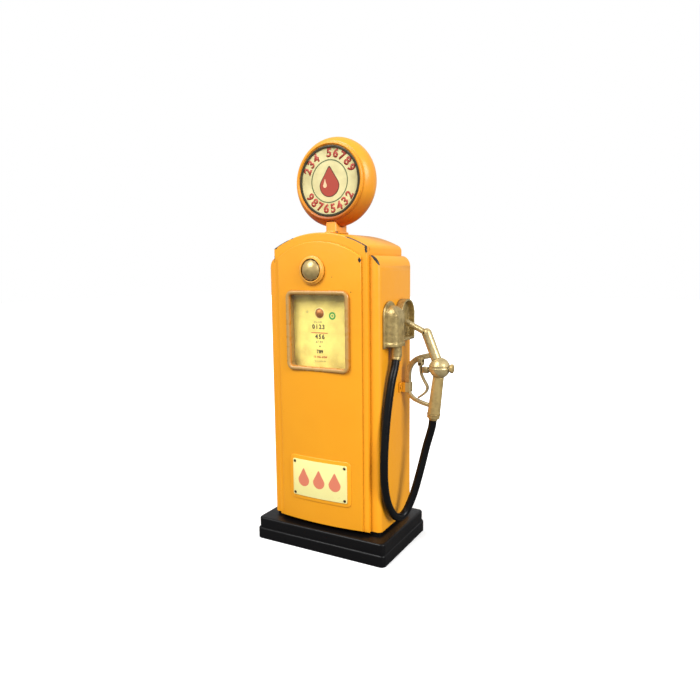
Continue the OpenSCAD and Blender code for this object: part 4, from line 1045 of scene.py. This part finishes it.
retainer_rough = bpy.data.textures.new("retainer rough", "CLOUDS")
retainer_rough.noise_scale = 0.004


def arc_digits(text, radius, height, middle, step, upright, y, side):
    """Digits round an arc of the dial, each turned to face its edge or, below, its middle."""
    made = []
    for place, digit in enumerate(text):
        if digit == " ":
            continue
        turn = math.radians(middle + (place - (len(text) - 1)/2)*step*(1 if upright else -1))
        glyph = front_digits(digit, height, 0, 0, 0, 0.0003, 1.0)
        tilt = -turn if upright else math.pi - turn
        glyph.matrix_world = (Matrix.Translation((0, y, globe_z))
                              @ Matrix.Rotation(math.pi if side < 0 else 0, 4, "Z")
                              @ Matrix.Translation((radius*math.sin(turn), 0, radius*math.cos(turn)))
                              @ Matrix.Rotation(-tilt, 4, "Y"))
        only(glyph)
        settle()
        made.append(glyph)
    return made


for side, word, node_dial in ((1, "front", "globe_front_dial"), (-1, "rear", "globe_rear_dial")):
    # Each dial darkens towards its rim: painted shade under the lip and retaining ring
    paint_node(printed_finish(f"round dial {word}", dial_colour, dial_blotch_edge_colour,
                              (0, globe_y - side*dial_out, globe_z), 0.0222, 0.72, 0.35), node_dial)
    dial_low, dial_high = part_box(node_dial)
    face_y = dial_low.y - 0.00004 if side > 0 else dial_high.y + 0.00004
    ring_node = f"globe_{word}_ring"
    lip = dressed_copy(ring_node, f"sign_{word}_lip", 0.0)
    finish_piece(lip, "cabinet", "cabinet_paint", globe_paint_shaded_below, ring_node)
    hold_node = f"globe_{word}_retainer"
    hold = dressed_copy(hold_node, f"sign_{word}_retainer", 0.00015, 2)
    apply_modifier(hold, "DISPLACE", texture=retainer_rough, texture_coords="LOCAL",
                   direction="NORMAL", strength=0.0003, mid_level=0.5)
    finish_piece(hold, "cabinet", "dark_retainer", olive, hold_node)
    digits = arc_digits("234 56789", 0.0162, 0.0049, 0, 16.5, True, face_y, side)
    digits += arc_digits("98765432", 0.0162, 0.0049, 180, 16.5, False, face_y, side)
    print_on(f"sign_{word}_digits", digits, sign_print_red, "printed_card")
    print_on(f"sign_{word}_circle", [front_ring(0.0126, 0.0120, 0, globe_z, face_y, 72)],
             ring_print, "printed_card")
    for layer, (part, across, width, height, ink) in enumerate((
            ("edge", 0, 0.0136, 0.0180, emblem_edge), ("drop", 0, 0.0126, 0.0166, sign_print_red),
            ("light", -0.0030, 0.0026, 0.0052, emblem_light))):
        mark = fuel_drop("drop", side*across, globe_z - 0.0024, width, height,
                         face_y - side*layer*layer_gap)
        print_on(f"sign_{word}_{part}", [mark], ink, "printed_card")

# ---- Castings on the side ---------------------------------------------------
# A hooded outlet and an open boot are rough castings in antique gold paint, screwed to
# the cabinet's right-hand side. The outlet's nipple and collar carry the hose.
cast_rough = bpy.data.textures.new("cast rough", "CLOUDS")
cast_rough.noise_scale = 0.0022
cast_rough.noise_depth = 1
cast_gold = gold_finish("cast gold", (0.53, 0.40, 0.16), 330.0, 0.5, 0.25, 0.00020)


def cast_copy(cad_node, name, grain_size, softness, rough):
    """A copy of a CAD node worked over as a sand casting: rounded all over and slightly lumpy."""
    piece = dressed_copy(cad_node, name, 0.0)
    apply_modifier(piece, "REMESH", mode="VOXEL", voxel_size=grain_size)
    apply_modifier(piece, "SMOOTH", factor=0.5, iterations=softness)
    apply_modifier(piece, "DISPLACE", direction="NORMAL", strength=0.00002*softness, mid_level=0)
    apply_modifier(piece, "DISPLACE", texture=cast_rough, texture_coords="LOCAL",
                   direction="NORMAL", strength=rough, mid_level=0.5)
    only(piece)
    bpy.ops.object.shade_smooth()
    return piece


for cad_node, name, size, softness, rough in (
        ("outlet_casting", "outlet_hood", 0.00024, 3, 0.00018),
        ("nozzle_boot", "nozzle_boot_cast", 0.00024, 3, 0.00018),
        ("outlet_nipple", "outlet_nipple_cast", 0.0002, 4, 0.0001),
        ("hose_collar", "hose_collar_cast", 0.0002, 4, 0.0001)):
    finish_piece(cast_copy(cad_node, name, size, softness, rough), "cabinet", "antique_gold", cast_gold,
                 cad_node)
paint_node(plain_steel, "casting_screws")

# ---- Clip -------------------------------------------------------------------
# A folded tin fork, riveted to the side and painted with the cabinet, grips the guard.
clip_paint = cabinet_finish("clip paint", paint_colour, band_or_shade=((0.53, 0.40, 0.16), 0, 0.0412, 0.0418))
clip = dressed_copy("guard_clip", "guard_clip_folded", 0.0002, 2)
finish_piece(clip, "cabinet", "cabinet_paint", clip_paint, "guard_clip")
rivets = dressed_copy("clip_rivets", "clip_rivets_set", 0.0002, 2)
finish_piece(rivets, "cabinet", "cabinet_paint", shell_paint, "clip_rivets")

# ---- Nozzle -----------------------------------------------------------------
# The delivery nozzle is cast in pieces and painted antique gold, smoother and yellower
# on the grip. A round valve carries the sleeve and spout, the grip, a flat guard and a
# trigger on a pin.
nozzle_gold = gold_finish("nozzle gold", (0.67, 0.53, 0.26), 240.0, 0.35, 0.22, 0.00010)
grip_gold = gold_finish("grip gold", (0.60, 0.43, 0.165), 200.0, 0.35, 0.25, 0.00008, 0.45)
for cad_node, name, size, softness, rough, finish in (
        ("spout_tube", "spout_tube_cast", 0.00015, 3, 0.00005, nozzle_gold),
        ("spout_sleeve", "spout_sleeve_cast", 0.0002, 4, 0.0001, nozzle_gold),
        ("valve_body", "valve_body_cast", 0.0002, 3, 0.00008, nozzle_gold),
        ("grip", "grip_cast", 0.0002, 4, 0.0001, grip_gold),
        ("guard", "guard_cast", 0.00018, 4, 0.0001, nozzle_gold)):
    finish_piece(cast_copy(cad_node, name, size, softness, rough), "nozzle", "antique_gold", finish,
                 cad_node)
for cad_node, name, edge_r in (("valve_cap", "valve_cap_turned", 0.0003),
                               ("grip_collar", "grip_collar_turned", 0.0002),
                               ("hose_ferrule", "hose_ferrule_turned", 0.0002)):
    finish_piece(dressed_copy(cad_node, name, edge_r, 2), "nozzle", "antique_gold", grip_gold, cad_node)
finish_piece(cast_copy("trigger", "trigger_cast", 0.00016, 3, 0.00006), "trigger", "antique_gold",
             nozzle_gold, "trigger")
finish_piece(dressed_copy("valve_stem", "valve_stem_turned", 0.0002, 2), "stem", "antique_gold",
             nozzle_gold, "valve_stem")
paint_node(dark_metal, "spout_pin", "trigger_pin")
